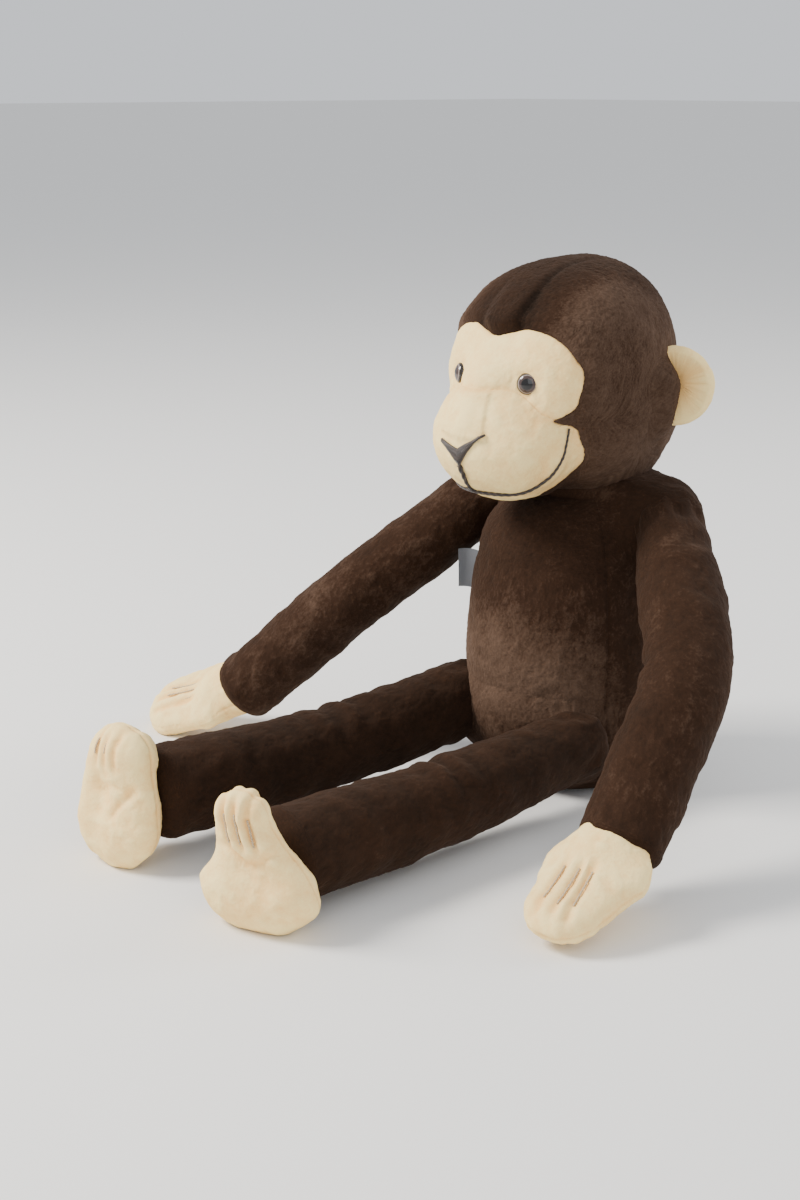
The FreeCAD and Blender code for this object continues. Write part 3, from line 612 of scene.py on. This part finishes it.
def stuffing(name, skin, inset, centre, cells, reach, body, node, seed):
    """Loose fibre: a lumpy solid inside the field of its skin."""
    points, tris, facing = shrunk(lambda p: skin(p) + inset, centre, cells, reach)
    lumps = noise(points, 8, seed) * 0.5 + noise(points, 3.5, seed + 1) * 0.3
    points = lifted(points, facing, lumps - 0.6)
    piece(name, points, tris, FIBRE, body, [node], 0.5 + lumps * 0.3)


def surface_line(path_directions):
    return cast(head_field, HEAD_MIDDLE, unit(path_directions))


def cord_mesh(path, radius, twist=0.9, rings=10, strands=3):
    """A stitched line: a tube along path with the twist of its thread."""
    path = np.asarray(path, float)
    along = unit(np.gradient(path, axis=0))
    up = unit(np.cross(along, [0.31, 0.2, 0.93]))
    side = np.cross(along, up)
    run = np.concatenate([[0], np.cumsum(np.linalg.norm(np.diff(path, axis=0), axis=1))])
    angle = np.linspace(0, 2 * math.pi, rings, endpoint=False)
    radius = np.broadcast_to(np.asarray(radius, float), len(path))
    wave = np.cos(strands * angle[None, :] - run[:, None] * twist * 2)
    size = radius[:, None] * (1 + 0.18 * wave)
    spread = np.cos(angle)[None, :, None] * up[:, None] + np.sin(angle)[None, :, None] * side[:, None]
    points = (path[:, None] + spread * size[..., None]).reshape(-1, 3)
    # the relief is the twist wave, which the thread material turns into painted light on the raised plies and
    # painted shade between them
    return points, ring_tris(len(path), rings), 0.5 + 0.5 * wave.ravel()


def join(parts):
    """Several (points, tris, relief) as one."""
    points, tris, relief = zip(*parts)
    starts = np.cumsum([0] + [len(p) for p in points[:-1]])
    tris = [t + start for t, start in zip(tris, starts)]
    return np.concatenate(points), np.concatenate(tris), np.concatenate(relief)


def build_embroidery():
    # the mouth line: nearly level below the nose, then steeply up to the corners
    turn = np.linspace(-1, 1, 260)
    x = 36.4 * np.sin(turn * math.pi / 2)
    depth = MUZZLE[1] - 26.5 + 27 * (np.abs(x) / MOUTH_HALF) ** 2.2
    corner = smooth(np.abs(turn), 0.82, 1.0) * 6.5
    target = np.stack([x, depth, mouth_height(x) + corner], 1)
    line = surface_line(target - HEAD_MIDDLE)
    line += unit(line - HEAD_MIDDLE) * 0.75
    smile = cord_mesh(line, 0.42 + 0.38 * np.cos(turn * 1.35))
    low = line[len(line) // 2]
    nose_low = np.array([0, MUZZLE[1] - 36, MUZZLE[2] - 14.0])
    fall = np.linspace(0, 1, 60)[:, None]
    drop = surface_line(nose_low * (1 - fall) + low * fall + [[0.5, 0, 0]] * np.sin(fall * 6) - HEAD_MIDDLE)
    drop += unit(drop - HEAD_MIDDLE) * 0.7
    stem = cord_mesh(drop, 1.15 - 0.5 * fall[:, 0])
    points, tris, relief = join([smile, stem])
    piece("mouth_line", points, tris, STITCH, "head", ["mouth_embroidery"], relief)

    # the nose: a satin-stitched Y of short slanted stitches
    strands = []
    top, bottom = MUZZLE[2] + 0.2, MUZZLE[2] - 15.5
    for sign in (-1, 1):
        for share in np.linspace(0, 1, 24):
            x = (16.5 if sign > 0 else -13.0) * share
            rise = share**0.9
            high = (top + 0.6 - 5.6 * (sign < 0)) * rise + (bottom + 8.2) * (1 - rise)
            low_end = high - (8.5 * (1 - share) ** 1.2 + 1.0)
            ends = np.array([[x, -84, high], [x * 0.80 - sign * 0.4 * (1 - share), -84, low_end]])
            run = np.linspace(0, 1, 12)[:, None]
            row = surface_line(ends[0] * (1 - run) + ends[1] * run - HEAD_MIDDLE)
            lift = 0.35 + 0.75 * np.sin(math.pi * run)
            row += unit(row - HEAD_MIDDLE) * lift
            strands.append(cord_mesh(row, 0.58, rings=7))
    points, tris, relief = join(strands)
    piece("nose", points, tris, STITCH, "head", ["nose_embroidery"], relief)


def build_eyes():
    for side, sign in SIDES.items():
        spot = EYE_SPOTS[side]
        guess = unit(spot - HEAD_MIDDLE)
        seat = cast(head_field, HEAD_MIDDLE, guess[None])[0]
        out = unit(np.array([sign * 0.58, -0.80, 0.08]))
        rings = 40
        angle = np.linspace(0, 2 * math.pi, rings, endpoint=False)[:, None]
        beside = unit(np.cross(out, [0, 0, 1]))
        ring = np.cos(angle) * beside + np.sin(angle) * np.cross(beside, out)
        profile = [(5.2 * math.sin(t), 3.4 * math.cos(t) - 0.4) for t in np.linspace(0, math.pi / 2, 22)]
        profile = np.array(profile + [(5.0, -1.6), (1.7, -2.0), (1.7, -11.0)])
        radius, height = profile[:, :1, None], profile[:, 1:, None]
        points = (seat + ring * np.maximum(radius, 0.02) + out * height).reshape(-1, 3)
        relief = np.repeat(np.where(height > -1, np.minimum(radius / 5.2, 1), 1), rings)
        tris = ring_tris(len(profile), rings)
        if np.sum(normals(points, tris)[0] * out) < 0:
            tris = tris[:, ::-1]
        piece(f"safety_eye_{side}", points, tris, EYE, "head", [f"{side}_eye"], relief)


# ---- ears


def build_ears():
    for side, sign in SIDES.items():
        root = at(f"{side}_ear_fold")
        sweep = math.radians(32)
        out = np.array([sign * math.cos(sweep), math.sin(sweep), 0])
        face = np.cross(out, -DOWN)
        face = face * (-1 if face[1] > 0 else 1)
        centre = root + out * 3

        def frame_of(p):
            q = p - centre
            return q @ out, q[:, 2], q @ face

        def ear(p):
            a, b, c = frame_of(p)
            flat = np.hypot(a / 1.0, (b + 1) / 1.04)
            cup = 4.4 - 0.019 * flat**2
            rim = np.hypot(flat - 14.5, (c + cup * 0.35) / 0.9) - 3.6
            dish = np.maximum(np.abs(c + cup) - 2.2, flat - 15)
            return blend(rim, dish, 3.0)

        points, tris, facing = shrunk(ear, centre - face * 2.5, 64, 60)
        a, b, c = frame_of(points)
        height, share = cream_nap(points, 60, 1.5)
        flat = np.hypot(a, b + 1)
        hollow = smooth(12.5 - flat, 0, 4) * smooth(facing @ face, 0, 0.4)
        # painted shade: the hollow of the ear's cup is darker
        share = share - 0.60 * hollow - 0.15 * bump(flat - 14.5, 1.0)
        seam = np.where(flat > 8, c + 0.5, facing @ face * 5)
        shape = (lifted(points, facing, height), tris, facing, share)
        for name, keep in (("front", seam), ("back", -seam)):
            node = f"{side}_ear_{name}"
            panel(f"ear_{side}_{name}", shape, keep, 0.8, CREAM, f"{side}_ear", [node])


# ---- torso

HIPS = {side: at(f"{side}_hip_swing") for side in SIDES}
SHOULDERS = {side: at(f"{side}_shoulder_swing") for side in SIDES}
TORSO_MIDDLE = np.array([0, 0, 74.0])
SIDE_SEAM = math.radians(28)


def bow(start, end, radius, count=24):
    """Points along an outward bulging arc, in (distance from the axis, height)."""
    start, end = np.array(start, float), np.array(end, float)
    half = (end - start) / 2
    inward = np.array([-half[1], half[0]]) / np.linalg.norm(half)
    centre = start + half + inward * math.sqrt(radius**2 - half @ half)
    spoke = unit(start + (end - start) * np.linspace(0, 1, count)[:, None] - centre)
    return centre + spoke * radius


# the body's outline, each point as (distance from the axis, height)
SEAT, WAIST, CHEST, COLLAR = (34.5, -1), (52.3, 54), (47.5, 116), (23, 147)
OUTLINE = np.concatenate(
    [bow(SEAT, WAIST, 60), bow(WAIST, CHEST, 170)[1:], bow(CHEST, COLLAR, 36)[1:]]
)


def torso_field(p):
    round_out = np.hypot(p[:, 0], p[:, 1]) - np.interp(p[:, 2], OUTLINE[:, 1], OUTLINE[:, 0])
    d = np.maximum(round_out * 0.9, p[:, 2] - 152)
    for side, sign in SIDES.items():
        d = blend(d, rod(p, (sign * 12, 12, 148), SHOULDERS[side] + [-sign * 6, 4, 3], 24, 17.5), 12)
        d = blend(d, ball(p, HIPS[side] * [0.80, 0.72, 1] + [0, 0, 6], 17), 10)
    return cut(cut(d, 158 - p[:, 2], 6), p[:, 2] - 0.6, 5)


def build_torso():
    points, tris, facing = shrunk(torso_field, TORSO_MIDDLE, 185)
    x, y, z = points.T
    nap = np.stack([x * 0, -y * 0.004, x * 0 - 1], 1)
    pile, share = brown_pile(points, facing, nap, 70)
    before = -y * math.cos(SIDE_SEAM) - np.abs(x) * math.sin(SIDE_SEAM)
    side_seam = bump(np.where(np.abs(x) > 20, before, 40), 1.1)
    back_seam = bump(np.where(y > 10, x, 40), 1.1)
    seams = np.maximum(side_seam, back_seam) * smooth(z, 4, 12) * smooth(142 - z, 0, 10)
    soft = smooth(z, 0.8, 6)
    folds = np.zeros(len(points))
    for side in SIDES:
        near = np.linalg.norm(points - HIPS[side] * [0.95, 1, 1], axis=1)
        folds += bump(near - 24, 4) * noise(points, 9, 77) * 0.9
        near = np.linalg.norm(points - SHOULDERS[side], axis=1)
        folds += bump(near - 24, 5) * noise(points * [1, 1, 0.6], 8, 78) * 1.0
    belly = noise(points, 26, 79) * 0.9
    height = (pile + folds + belly - 0.6 * seams) * soft
    lit = bump(z - 62, 30) * smooth(-y, 5, 40)
    # painted light on the lit belly and painted shade along the seams
    share = share - 0.06 * seams - 0.10 + 0.50 * lit + 0.06 * noise(points, 20, 80)
    shape = (lifted(points, facing, height), tris, facing, share)
    rise = z - 2.2
    panels = {
        "torso_front": (np.minimum(before, rise), ["body_front_panel"]),
        "torso_back_left": (np.minimum(np.minimum(-before, x), rise), ["body_back_left_panel"]),
        "torso_back_right": (np.minimum(np.minimum(-before, -x), rise), ["body_back_right_panel"]),
        "seat_disc_cloth": (-rise, ["seat_panel"]),
    }
    for name, (keep, nodes) in panels.items():
        panel(name, shape, keep, 1.6, BROWN, "torso", nodes)
    stuffing("torso_fill", torso_field, 4.5, TORSO_MIDDLE, 40, 150, "torso", "body_stuffing", 90)


def build_pellet_bag():
    low, high = cad_box("pellet_bag")
    middle, half = (low + high) / 2, (high - low) / 2

    def bag(p):
        q = (p - middle) / half
        round_side = np.hypot(q[:, 0], q[:, 1])
        return (round_side**4 + np.abs(q[:, 2]) ** 3.2) ** 0.27 - 0.96

    points, tris, facing = shrunk(bag, middle, 30, 60)
    beads = noise(points, 3.2, 95)
    points = lifted(points, facing, beads * 0.35 - 0.4)
    piece("pellet_bag_cloth", points, tris, CANVAS, "torso", ["pellet_bag"], 0.5 + beads * 0.2)


def build_label():
    """A blank folded ribbon that stands out of the right side seam."""
    root = at("label_flap")
    low, high = cad_box("side_label")
    tall = high[2] - low[2] - 1
    out = unit(root * [1, 1, 0])
    across = np.cross(out, [0, 0, 1])
    rows, columns = 40, 30
    u, v = np.meshgrid(np.linspace(0, 1, rows), np.linspace(-0.5, 0.5, columns), indexing="ij")
    parts = []
    for sign in (-1, 1):
        gap = 0.55 * np.sqrt(np.clip(1 - u, 0, 1)) + 0.08
        run = (u * 11.2 - 2.5)[..., None]
        aside = (sign * gap + 1.0 * np.sin(u * 2.2 + v * 1.6) * u)[..., None]
        height = (root[2] + v * tall + 0.8 * np.sin(u * 3))[..., None]
        points = (root * [1, 1, 0] + out * run + across * aside + np.array([0, 0, 1]) * height).reshape(-1, 3)
        i, k = np.meshgrid(np.arange(rows - 1), np.arange(columns - 1), indexing="ij")
        a = i * columns + k
        c = a + columns
        tris = np.stack([a, c, c + 1, a, c + 1, a + 1], -1).reshape(-1, 3)
        if np.mean(normals(points, tris) @ across) * sign < 0:
            tris = tris[:, ::-1]
        parts.append((points, tris, np.full(len(points), 0.5)))
    points, tris, relief = join(parts)
    piece("side_ribbon", points, tris, RIBBON, "label", ["side_label"], relief)


# ---- limbs


def bent_path(points, rounding, count):
    """Evenly spaced points along straight runs joined by a round bend."""
    a, b, c = points
    back = unit(a - b)
    ahead = unit(c - b)
    t = np.linspace(0, 1, 80)[:, None]
    p0, p2 = b + back * rounding, b + ahead * rounding
    curve = (1 - t) ** 2 * p0 + 2 * t * (1 - t) * b + t**2 * p2
    line = np.concatenate([[a], curve, [c]])
    run = np.concatenate([[0], np.cumsum(np.linalg.norm(np.diff(line, axis=0), axis=1))])
    even = np.linspace(0, run[-1], count)
    return np.stack([np.interp(even, run, line[:, k]) for k in range(3)], 1), even


def tube(points, rounding, radii, rings, count, cuff=0.45):
    """A skin round a bent path, with a round shoulder and a flat cuff. radii gives the radius at each run.
    Returns points, triangles, run, angle and direction along the limb."""
    path, run = bent_path(points, rounding, count)
    along = unit(np.gradient(path, axis=0))
    length = run[-1]
    start_r, end_r = radii(0.0), radii(length)
    domes = 40
    turn = np.linspace(-math.pi / 2, 0, domes, endpoint=False)
    into, back = np.sin(turn) * start_r, -np.sin(turn[::-1]) * end_r * cuff
    centre = np.concatenate([path[0] + along[0] * into[:, None], path, path[-1] + along[-1] * back[:, None]])
    forward = np.concatenate([np.tile(along[0], (domes, 1)), along, np.tile(along[-1], (domes, 1))])
    radius = np.concatenate([np.cos(turn) * start_r, radii(run), np.cos(turn[::-1]) ** 0.55 * end_r])
    radius = np.maximum(radius, 0.02)
    place = np.concatenate([into, run, length + back])
    side = unit(np.cross(forward, -DOWN))
    top = np.cross(side, forward)
    angle = np.linspace(0, 2 * math.pi, rings, endpoint=False)
    spread = np.cos(angle)[None, :, None] * side[:, None] + np.sin(angle)[None, :, None] * top[:, None]
    points = (centre[:, None] + spread * radius[:, None, None]).reshape(-1, 3)
    n = len(centre)
    tris = ring_tris(n, rings, capped=False)
    if np.sum(normals(points, tris)[(n // 2) * rings] * spread[n // 2, 0]) < 0:
        tris = tris[:, ::-1]
    return points, tris, np.repeat(place, rings), np.tile(angle, n), np.repeat(forward, rings, axis=0)


def limb(name, stops, rounding, radii, bend_at, bodies, nodes, seed, painted_shade):
    """A plush sleeve over its fill, bending across the joint in its middle."""
    a, b, c = stops
    points, tris, run, angle, forward = tube(stops, rounding, radii, 190, 330)
    facing = normals(points, tris)
    pile, share = brown_pile(points, facing, forward, seed)
    from_below = (angle + 1.5 * math.pi) % (2 * math.pi) - math.pi
    seam = bump(from_below * 18, 1.1)
    total = np.max(run)
    calm = smooth(total - run, 2, 12)
    bent = np.linalg.norm(np.cross(unit(a - b), unit(c - b))) > 0.2
    inner = unit(unit(a - b) + unit(c - b)) if bent else -DOWN
    towards = facing @ inner
    distance = run - bend_at
    ripple = np.cos(distance / 2.6 + noise(points, 14, seed + 7) * 1.5)
    creases = ripple * bump(distance, 15) * smooth(towards, 0.1, 0.9)
    gather = np.cos(angle * 9 + noise(points, 12, seed + 8) * 2.5)
    gathers = gather * (bump(run, 9) * 0.6 + bump(run - (total - 14), 8) * 0.25)
    slack = noise(combed(points, forward, 0.6), 15, seed + 9) * 0.8 * calm
    height = pile * (0.35 + 0.65 * calm) + slack + gathers - 0.8 * seam - 1.1 * creases
    # painted shade: darker along the underside seam, in the creases inside the bend, and all over on the legs
    # and the near arm
    share = share + painted_shade - 0.10 * seam - 0.1 * creases - 0.06 * gather * bump(run, 9)
    moved = lifted(points, facing, height, 0.4)
    obj = piece(name, moved, tris, BROWN, None, nodes, share)
    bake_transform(obj)
    inner_points, inner_tris = tube(stops, rounding, lambda r: radii(r) - 3.6, 40, 70)[:2]
    facing = normals(inner_points, inner_tris)
    lumps = noise(inner_points, 8, seed + 20)
    inner_points = lifted(inner_points, facing, lumps * 0.4 - 0.5)
    fills = [body + "_stuffing" for body in bodies]
    fill = piece(name + "_fill", inner_points, inner_tris, FIBRE, None, fills, 0.5 + lumps * 0.2)
    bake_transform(fill)


def build_limbs():
    for side, sign in SIDES.items():
        shoulder, elbow, wrist = SHOULDERS[side], at(f"{side}_elbow"), at(f"{side}_wrist")
        length = np.linalg.norm(elbow - shoulder) + np.linalg.norm(wrist - elbow)
        near = side == "left"
        root, middle, taper = (15.6, 19.8, 0.9) if near else (17.5, 18.2, 0.4)

        def arm_radius(run, length=length, root=root, middle=middle, taper=taper):
            return root + (middle - root) * smooth(run, -4, 42) - taper * smooth(run, 0.6 * length, length)

        bow = np.array([3.4, 3.8, -6.0]) if near else np.array([3.6, 4.0, -3.5])
        limb(
            f"arm_{side}",
            (shoulder, elbow + bow, wrist + bow * 0.3), 24, arm_radius, np.linalg.norm(elbow - shoulder),
            (f"{side}_upper_arm", f"{side}_forearm"),
            [f"{side}_upper_sleeve", f"{side}_lower_sleeve"],
            # painted shade: the near arm is drawn darker than the far one
            100 + 40 * (sign > 0), -0.08 if near else 0.0,
        )
        hip, knee, ankle = HIPS[side], at(f"{side}_knee"), at(f"{side}_ankle")
        length = np.linalg.norm(ankle - hip)

        def leg_radius(run, length=length, root=16.8 if near else 19.5):
            return root + (20.0 - root) * smooth(run, 8, 80) + 1.2 * smooth(run, 0.45 * length, 0.9 * length)

        root_lift, knee_lift = (9, 0.5) if near else (13, 2)
        limb(
            f"leg_{side}",
            (hip + [0, 0, root_lift], knee + [0, 0, knee_lift], ankle + unit(ankle - knee) * 3.5),
            40,
            leg_radius,
            np.linalg.norm(knee - hip),
            (f"{side}_thigh", f"{side}_shin"),
            [f"{side}_thigh_sleeve", f"{side}_shin_sleeve"],
            # painted shade: both legs are drawn darker
            200 + 40 * (sign > 0), -0.19,
        )


# ---- hands and feet


def flat_frame(node, upward):
    """The middle and the thin direction of a flat stuffed end, from its CAD node."""
    co = np.array([v.co for v in frame["nodes"][node].data.vertices]) / MM
    _, axes = np.linalg.eigh(np.cov((co - co.mean(0)).T))
    normal = axes[:, 0]
    return (co.min(0) + co.max(0)) / 2, normal * (1 if normal @ upward > 0 else -1)


def sunk_thread(field, centre, start, end, normal, reach, depth):
    """The wavy thread of one stitched line, sunk into the skin between two fingers or toes."""
    run = np.linspace(0, 1, 40)[:, None]
    path = cast(field, centre, unit(start * (1 - run) + end * run - centre), reach)
    path += normal * (-depth + 0.25 * np.sin(run * 70))
    return cord_mesh(path, 0.42, rings=6)


def sew_end(side, part, shape, halves, field, centre, reach, seed, threads, digit):
    """The two cloth halves, the fill and the stitched lines of a hand or foot."""
    body = f"{side}_{part}"
    for half, keep in halves.items():
        panel(f"{part}_{side}_{half}", shape, keep, 0.8, CREAM, body, [f"{body}_{half}"])
    stuffing(f"{part}_{side}_fill", field, 3.2, centre, 26, reach, body, f"{body}_stuffing", seed)
    points, tris, relief = join(threads)
    node = f"{side}_{digit}_stitches"
    piece(f"{part}_{side}_stitches", points, tris, CREAM_THREAD, body, [node], relief)


def build_hands():
    for side, sign in SIDES.items():
        wrist = at(f"{side}_wrist")
        across = axis_of(f"{side}_wrist")
        middle, normal = flat_frame(f"{side}_hand_stuffing", -DOWN)
        normal = unit(normal - across * (normal @ across))
        ahead = unit(np.cross(normal, across))
        if ahead @ (middle - wrist) < 0:
            ahead = -ahead
        inward = across * (-1 if across[0] * sign > 0 else 1)
        normal = unit(normal + inward * (0.0 if side == "left" else 0.55))
        inward = unit(inward - normal * (inward @ normal))

        def local(p):
            q = p - wrist
            return q @ ahead, q @ inward, q @ normal

        grooves = (11.0, 2.5, -4.0)

        def hand(p):
            a, b, c = local(p)
            thin = 0.46 + 0.12 * smooth(a, 30, 58)
            if side == "left":
                d = rod(np.stack([a, b, c / thin], 1), (24, 0, 0), (46, 2.5, 0), 24, 17.3)
            else:
                d = rod(np.stack([a, b, (c + 3) / thin], 1), (23, 0, 0), (43, 1, 0), 23, 20.5)
            return blend(d * 0.5, rod(np.stack([a, b, c], 1), (0, 0, 0), (12, 0, 0), 14.5, 13), 7)

        centre = wrist + ahead * 26
        points, tris, facing = shrunk(hand, centre, 92, 80)
        a, b, c = local(points)
        fan = 0.8 + 0.2 * smooth(a, 25, 50)
        lines = np.min([np.abs(b - offset * fan) for offset in grooves], axis=0)
        groove = bump(lines, 2.1) * smooth(a, 23, 31) * smooth(64 - a, 1, 12)
        rim = bump(c, 1.0) * smooth(np.abs(facing @ normal), 0.6, 0.2)
        height, share = cream_nap(points, 300 + sign, 1.7)
        height = height + noise(points, 12, 310 + sign) * 0.8 - 2.0 * groove - 0.5 * rim
        # painted shade: darker in the finger grooves, along the seam round the edge and towards the wrist
        share = share - 0.30 * groove - 0.18 * rim - 0.10 * smooth(a, 14, 6)
        threads = []
        for offset in grooves:
            start = wrist + ahead * 30 + inward * offset * 0.84 + normal * 9
            end = wrist + ahead * 50 + inward * offset + normal * 9
            threads.append(sunk_thread(hand, centre, start, end, normal, 80, 1.35))
        shape = (lifted(points, facing, height), tris, facing, share)
        sew_end(side, "hand", shape, {"back": c + 0.01, "palm": -c}, hand, centre, 80, 320, threads, "finger")


def build_feet():
    for side, sign in SIDES.items():
        across = axis_of(f"{side}_ankle")
        middle, normal = flat_frame(f"{side}_foot_stuffing", np.array([0, -1.0, 0]))
        normal = unit(normal - across * (normal @ across))
        toes = unit(np.cross(normal, across))
        toes = toes * (1 if toes[2] > 0 else -1)
        inward = across * (-1 if across[0] * sign > 0 else 1)
        normal = unit(normal + inward * (0.0 if side == "left" else 0.42))
        inward = unit(inward - normal * (inward @ normal))
        heel = middle - toes * 9
        near = side == "left"
        lean = 5.5 if near else 0.0

        def local(p):
            q = p - heel
            a = q @ toes
            return a, q @ inward - lean * smooth(a, -2, 30), q @ normal

        def spot(a, b):
            """A point just outside the sole, a towards the toes and b inward from the heel."""
            return heel + toes * a + inward * (b + lean * smooth(a, -2, 30)) + normal * 9

        grooves = (-6.5, -0.5, 5.5)

        def foot(p):
            a, b, c = local(p)
            thin = 0.50 + 0.22 * smooth(a, 8, 34)
            flat = np.stack([a, b, c / thin], 1)
            if near:
                d = rod(flat, (0, 0, 0), (27, 0, 0), 22, 12.6) * 0.6
                d = blend(d, ball(np.stack([a, b, c], 1), (-9, 3.2, 1), 26.8, (0.66, 1.05, 0.5)), 5)
            else:
                d = rod(flat, (-3, 0, 0), (22, 0, 0), 24.0, 18.8) * 0.6
            d = blend(d, rod(np.stack([a, b, c], 1), (-2, 0, -6), (-2, 0, -17), 13.5, 13), 5)
            if near:
                return d + 3.2 * bump(np.hypot(a - 4, b * 0.9), 9) * smooth(c, 0, 5)
            return d + 5.6 * bump(np.hypot((a - 7) * 0.55, (b + 4) * 1.2), 8) * smooth(c, 0, 5)

        centre = heel + toes * 6 - normal * 3
        points, tris, facing = shrunk(foot, centre, 92, 90)
        a, b, c = local(points)
        fan = 1.15 - 0.15 * smooth(a, 12, 30)
        lines = np.min([np.abs(b - offset * fan) for offset in grooves], axis=0)
        low = 13 if near else 19
        groove = bump(lines, 1.7) * smooth(a, low, low + 6) * smooth(42 - a, 0, 8)
        rim = bump(c + 1, 1.0) * smooth(np.abs(facing @ normal), 0.6, 0.2)
        height, share = cream_nap(points, 330 + sign, 1.7)
        puff = noise(points, 11, 340 + sign) * 0.9
        fold = bump(a - 10 - noise(points, 9, 360) * 4 - 0.35 * np.abs(b), 2.4)
        fold = fold * smooth(24 - np.abs(b), 4, 14) * (c > 0)
        if not near:
            along, beside = 0.79 * (a - 7.5) + 0.61 * (b - 9.4), 0.61 * (a - 7.5) - 0.79 * (b - 9.4)
            slanted = 1.3 * bump(beside, 2.4) * smooth(13 - np.abs(along), 0, 5) * (c > 0)
            fold = np.maximum(0.4 * fold, slanted)
        height = height + puff - (2.2 if near else 1.2) * groove - 0.5 * rim - 1.3 * fold
        dent = bump(np.hypot((a - 2) * 0.8, b), 13) if near else bump(np.hypot((a - 7) * 0.6, b + 4), 8)
        dent = dent * (c > 0) * (0.10 if near else 0.22)
        # painted shade: darker in the toe grooves, along the seam round the edge, in the dent of the sole, in
        # the folds and towards the back of the foot
        share = share - 0.28 * groove - 0.18 * rim - dent - 0.16 * fold
        share = share - 0.10 * smooth(-c, 8, 16)
        ends = [(spot(low + 6, offset * 1.05), spot(34, offset)) for offset in grooves]
        threads = [sunk_thread(foot, centre, *pair, normal, 90, 1.3) for pair in ends]
        shape = (lifted(points, facing, height), tris, facing, share)
        sew_end(side, "foot", shape, {"sole": c + 1, "top": -c - 0.99}, foot, centre, 90, 350, threads, "toe")


def build_seams():
    """The hidden thread rings and eye washers keep their CAD shape."""
    hidden = {"neck_seam": STITCH, "eye_washers": EYE}
    for side in SIDES:
        hidden[f"{side}_shoulder_seam"] = STITCH
        hidden[f"{side}_hip_seam"] = STITCH
    for node, (material, _) in hidden.items():
        for slot in frame["nodes"][node].material_slots:
            slot.material = material


# ---- floor, light and camera


def build_stage():
    material, _, shader = new_material("floor")
    dress(shader, Base_Color=(0.80, 0.79, 0.77, 1), Roughness=0.9)
    mesh = bpy.data.meshes.new("floor")
    size = 25
    corners = [(-size, -size, 0), (size, -size, 0), (size, size, 0), (-size, size, 0)]
    mesh.from_pydata(corners, [], [(0, 1, 2, 3)])
    mesh.materials.append(material)
    floor = bpy.data.objects.new("floor", mesh)
    bpy.context.collection.objects.link(floor)
    world = bpy.data.worlds.new("studio")
    bpy.context.scene.world = world
    world.use_nodes = True
    world.node_tree.nodes["Background"].inputs["Color"].default_value = (0.92, 0.95, 1.0, 1)
    world.node_tree.nodes["Background"].inputs["Strength"].default_value = 0.9
    for name, place, size, power, colour in (
        ("key", (-0.85, -1.05, 1.25), 0.6, 53, (1.0, 0.96, 0.90)),
        ("fill", (1.3, -0.9, 0.9), 1.2, 7, (0.95, 0.97, 1.0)),
        ("rim", (0.5, 1.2, 0.9), 0.8, 10, (1.0, 0.98, 0.95)),
    ):
        lamp = bpy.data.lights.new(name, "AREA")
        lamp.size = size
        lamp.energy = power
        lamp.color = colour
        obj = bpy.data.objects.new(name, lamp)
        obj.location = place
        obj.rotation_euler = (Vector((0, -0.06, 0.1)) - Vector(place)).to_track_quat("-Z", "Y").to_euler()
        bpy.context.collection.objects.link(obj)


def build_camera():
    azimuth, elevation = math.radians(48.6), math.radians(16.0)
    right = np.array([math.cos(azimuth), math.sin(azimuth), 0])
    level = np.array([math.sin(azimuth), -math.cos(azimuth), 0])
    back = level * math.cos(elevation) - DOWN * math.sin(elevation)
    up = np.cross(back, right)
    place = np.array([0, -40, 110]) + back * 878.5 + right * -56.8 + up * -12.8
    camera = bpy.data.cameras.new("camera")
    camera.lens = 54.36
    camera.sensor_width = 36
    obj = bpy.data.objects.new("camera", camera)
    turn = Matrix([[right[i], up[i], back[i]] for i in range(3)]).to_4x4()
    obj.matrix_world = Matrix.Translation(Vector(place * MM)) @ turn
    bpy.context.collection.objects.link(obj)
    bpy.context.scene.camera = obj


build_head()
build_embroidery()
build_eyes()
build_ears()
build_torso()
build_pellet_bag()
build_label()
build_limbs()
build_hands()
build_feet()
build_seams()
build_stage()
build_camera()
